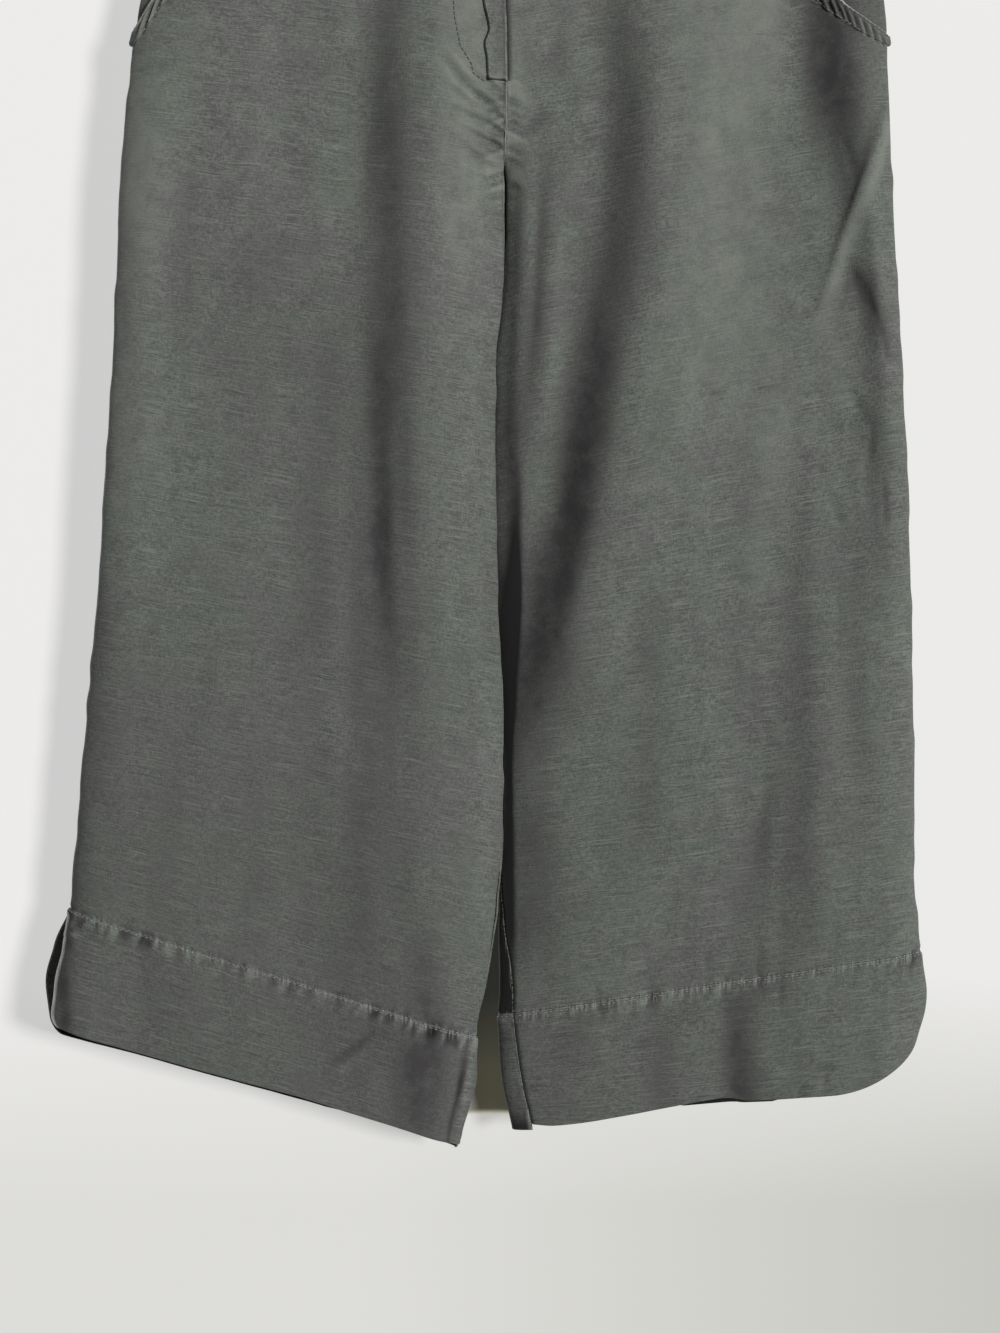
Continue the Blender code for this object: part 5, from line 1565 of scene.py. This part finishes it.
# a line on a piece at a distance from one of its edges, as points and outward directions
def edgeLine(piece, edge, distance, first=0.0, last=1.0):
    spread, outer, outward = piece[edge], piece["outer"], piece["outward"]
    if edge in ("top", "bottom"):
        spread, outer, outward = spread.T, outer.transpose(1, 0, 2), outward.transpose(1, 0, 2)
    points, ups = [], []
    rows, columns = spread.shape
    for k in range(int(first * (rows - 1)), int(last * (rows - 1)) + 1):
        values, places = spread[k], np.arange(columns)
        if values[0] > values[-1]:
            values, places = values[::-1], places[::-1]
        where = float(np.interp(distance, values, places))
        low = min(int(where), columns - 2)
        share = where - low
        points.append(outer[k, low] * (1 - share) + outer[k, low + 1] * share)
        ups.append(outward[k, low] * (1 - share) + outward[k, low + 1] * share)
    return np.array(points), np.array(ups)


# each row of stitches: the piece's edge, how far in, and the share of the edge's length it runs over
sewing = {
    "stitch_waistband": ("waistband", [("end", 0.0022, 0.0, 1.0), ("start", 0.0026, 0.0, 1.0)]),
    "stitch_fly_strip": ("fly_band", [("start", 0.0016, 0.0, 1.0)]),
}
pocketRows = [("start", 0.0018, 0.0, 0.97), ("end", 0.0010, 0.0, 0.97)]
bandRows = [("top", 0.0020, 0.0, 1.0)]
for legName in ("left", "right"):
    sewing[f"stitch_pocket_{legName}"] = (f"pocket_edge_{legName}", pocketRows)
for faceName in ("front", "back"):
    for legName in ("left", "right"):
        sewing[f"stitch_band_{faceName}_{legName}"] = (f"hem_{faceName}_{legName}", bandRows)
threads = {}
for threadName, (pieceName, rowsOfStitches) in sewing.items():
    stitchRows = [edgeLine(pieces[pieceName], *row) for row in rowsOfStitches]
    threads[threadName] = stitchLine(threadName, stitchRows, threadFinish)

# the curved row that holds the fly's facing, by x and drop, in a longer and thicker stitch
flyCurve = {
    "x": [-0.0342, -0.0342, -0.0335, -0.0315, -0.0295, -0.0261, -0.0221, -0.0208, -0.0114],
    "drop": [0.0370, 0.1615, 0.1729, 0.1836, 0.1937, 0.1990, 0.2057, 0.2118, 0.2184],
    "points": 160,
    "size": 1.5,
    "longer": 1.28,
}


def makeFlyCurve(name):
    steps = np.hypot(np.diff(flyCurve["x"]), np.diff(flyCurve["drop"]))
    lengths = np.concatenate([[0.0], np.cumsum(steps)])
    places = np.linspace(0.0, lengths[-1], flyCurve["points"])
    x, drop = (np.interp(places, lengths, flyCurve[key]) for key in ("x", "drop"))
    points, outward, relief, _ = frontAt(x, drop)
    lines = [(points + outward * relief[:, None], outward)]
    return stitchLine(name, lines, darkThread, flyCurve["size"], flyCurve["longer"])


threads["stitch_fly_curve"] = makeFlyCurve("stitch_fly_curve")
print("sewing made:", len(threads), "rows")

# everything rides on the one body and stands for its plain solid
for nodeName, piece in pieces.items():
    thing = piece["thing"]
    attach(thing, "root")
    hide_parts(nodeName)
for thing in threads.values():
    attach(thing, "root")
# the button keeps its solid and gets a horn finish
buttonLook = {"colour": (0.050, 0.045, 0.036), "streak": (0.110, 0.095, 0.070), "roughness": 0.32}


def makeHorn():
    material, tree, shader = newMaterial("horn button", buttonLook["roughness"])
    place = node(tree, "ShaderNodeTexCoord").outputs["Object"]
    grainFac = noiseNode(tree, place, 120.0, 4.0, distortion=1.5).outputs["Fac"]
    streaked = rangeNode(tree, grainFac, 0.4, 0.65)
    colour = mixColour(tree, streaked, buttonLook["colour"], buttonLook["streak"])
    tree.links.new(colour, shader.inputs["Base Color"])
    return material


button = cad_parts["waist_button"]
button.data.materials.clear()
button.data.materials.append(makeHorn())

# floor, room and backdrop
room = {
    "pale": (0.80, 0.79, 0.79),
    "roughness": 0.95,
    "floorDrop": 1.30,
    "floorHalf": 9.0,
    "floorGlow": 0.42,
    "roomHalf": 6.0,
    "roomGlow": 0.62,
}
# Pairs are where a look starts and where it is full. The backdrop is darker low down, most so to the
# right, with painted shadow beside the cloth and a dark, warm painted shadow between the legs
backdropLook = {
    "half": 3.2,
    "top": 2.4,
    "behind": 0.036,
    "paint": (0.25, 0.245, 0.235),
    "glow": 0.57,
    "glowColour": (1.0, 0.995, 0.995),
    "lowColour": (1.0, 1.01, 0.93),
    "low": (-0.82, -0.98),
    "lowSides": (-0.10, 0.45, 0.20, 0.52),
    "shadeReach": 0.07,
    "shade": (0.28, 0.50),
    "gapSides": ((-0.060, -0.035), (0.035, 0.012)),
    "gapEnds": ((-0.918, -0.912), (-0.300, -0.380)),
    "gapColour": (1.0, 0.93, 0.42),
    "gapShift": 0.42,
    "gapGlow": 0.034,
    "gapGlowEnds": (-0.835, -0.885),
}


def makePale(name, colour, glow=0.0):
    material, _, shader = newMaterial(name, room["roughness"])
    shader.inputs["Emission Color"].default_value = (*colour, 1.0)
    shader.inputs["Emission Strength"].default_value = glow
    shader.inputs["Base Color"].default_value = (*colour, 1.0)
    shader.inputs["Specular IOR Level"].default_value = 0.1
    return material


# a backdrop that glows evenly, dimmer low down, with painted shadow near the cloth and in narrow gaps, and
# clear from behind
def makeBackdrop(name):
    look = backdropLook
    material = makePale(name, look["paint"])
    tree = material.node_tree
    shader = tree.nodes["Principled BSDF"]
    parts = node(tree, "ShaderNodeSeparateXYZ")
    tree.links.new(node(tree, "ShaderNodeTexCoord").outputs["Object"], parts.inputs[0])
    x, _, z = parts.outputs
    dim = product(tree, rangeNode(tree, z, *look["low"]), rangeNode(tree, x, *look["lowSides"]))
    narrow = product(tree, *(rangeNode(tree, x, *side) for side in look["gapSides"]),
                     *(rangeNode(tree, z, *end) for end in look["gapEnds"]))
    # painted shadow: the glow fades where the cloth is near, and more in the gap between the legs
    openness = node(tree, "ShaderNodeAmbientOcclusion", {"Distance": look["shadeReach"]}, samples=16)
    seen = mathNode(tree, "SUBTRACT", openness.outputs["AO"], product(tree, narrow, look["gapShift"]))
    seen = rangeNode(tree, seen, *look["shade"])
    glow = mixColour(tree, rangeNode(tree, dim, 0.0, 0.5), look["glowColour"], look["lowColour"])
    glow = mixColour(tree, narrow, glow, look["gapColour"])
    tree.links.new(glow, shader.inputs["Emission Color"])
    strength = product(tree, mathNode(tree, "SUBTRACT", 1.0, dim), seen, look["glow"])
    gapGlow = product(tree, narrow, rangeNode(tree, z, *look["gapGlowEnds"]), look["gapGlow"])
    strength = mathNode(tree, "ADD", strength, gapGlow)
    tree.links.new(strength, shader.inputs["Emission Strength"])
    clear = node(tree, "ShaderNodeBsdfTransparent")
    mix = node(tree, "ShaderNodeMixShader")
    side = node(tree, "ShaderNodeNewGeometry")
    tree.links.new(side.outputs["Backfacing"], mix.inputs[0])
    tree.links.new(shader.outputs[0], mix.inputs[1])
    tree.links.new(clear.outputs[0], mix.inputs[2])
    tree.links.new(mix.outputs[0], tree.nodes["Material Output"].inputs["Surface"])
    return material


def addStagePlane(name, corners, material):
    mesh = bpy.data.meshes.new(name)
    mesh.from_pydata(corners, [], [list(range(len(corners)))])
    mesh.materials.append(material)
    plane = addThing(name, mesh)
    return plane


# an upright plane from one place on the floor plan to another
def uprightCorners(first, last, low, high):
    return [(*first, low), (*last, low), (*last, high), (*first, high)]


# the pale room shows behind the piece in other views, and sends no light onto it
def addRoomPlane(name, corners, material):
    plane = addStagePlane(name, corners, material)
    plane.visible_diffuse = False
    plane.visible_glossy = False
    plane.visible_shadow = False


reach, low, far = room["floorHalf"], -room["floorDrop"], room["roomHalf"]
floorCorners = [(-reach, -reach, low), (reach, -reach, low), (reach, reach, low), (-reach, reach, low)]
addRoomPlane("floor", floorCorners, makePale("floor paint", room["pale"], room["floorGlow"]))
roomPaint = makePale("room paint", room["pale"], room["roomGlow"])
for roomSide, (alongX, alongY) in enumerate(((1, 0), (0, 1), (-1, 0), (0, -1))):
    ends = [(far * (alongX - alongY * way), far * (alongY + alongX * way)) for way in (-1, 1)]
    addRoomPlane(f"room_{roomSide}", uprightCorners(*ends, low, far), roomPaint)
half, behind = backdropLook["half"], backdropLook["behind"]
backdropCorners = uprightCorners((-half, behind), (half, behind), low, backdropLook["top"])
backdrop = addStagePlane("backdrop", backdropCorners, makeBackdrop("backdrop paint"))
backdrop.visible_shadow = False

# light
lights = {
    "fill": {"at": (-0.6, -2.6, 0.30), "size": (2.0, 2.0), "power": 4.0},
    "rear": {"at": (-0.9, 1.9, 0.30), "size": (1.4, 1.4), "power": 55.0},
}
lightAim = (0.0, 0.0, -0.55)
sunLook = {"turn": 35.0, "height": 4.0, "spread": 11.0, "strength": 3.5}
sky = {"colour": (0.90, 0.91, 0.93, 1.0), "strength": 0.14}


def addLight(name, at, size, power):
    lamp = bpy.data.lights.new(name, "AREA")
    lamp.shape = "RECTANGLE"
    lamp.size, lamp.size_y = size
    lamp.energy = power
    thing = addThing(name, lamp)
    thing.location = at
    thing.rotation_mode = "QUATERNION"
    thing.rotation_quaternion = (Vector(lightAim) - Vector(at)).to_track_quat("-Z", "Y")


for lightName, lightLook in lights.items():
    addLight(lightName, **lightLook)
sunLamp = bpy.data.lights.new("key", "SUN")
sunLamp.energy = sunLook["strength"]
sunLamp.angle = math.radians(sunLook["spread"])
sun = addThing("key", sunLamp)
sun.rotation_euler = (math.radians(90.0 - sunLook["height"]), 0.0, math.radians(sunLook["turn"]))
world = bpy.data.worlds.new("soft room")
world.use_nodes = True
world.node_tree.nodes["Background"].inputs[0].default_value = sky["colour"]
world.node_tree.nodes["Background"].inputs[1].default_value = sky["strength"]
bpy.context.scene.world = world
bpy.context.scene.view_settings.view_transform = "Standard"

# camera: where it looks, how far away it stands and how tall its frame is there
view = {"aim": (-0.003, -0.608), "away": 1.75, "frameTall": 0.901, "sensor": 36.0}
camera = bpy.data.cameras.new("camera")
camera.sensor_width = view["sensor"]
camera.lens = view["sensor"] * view["away"] / view["frameTall"]
cameraThing = addThing("camera", camera)
aimX, aimZ = view["aim"]
cameraThing.location = (aimX, -view["away"], aimZ)
cameraThing.rotation_euler = (math.pi / 2, 0.0, 0.0)
bpy.context.scene.camera = cameraThing
print("stage set")
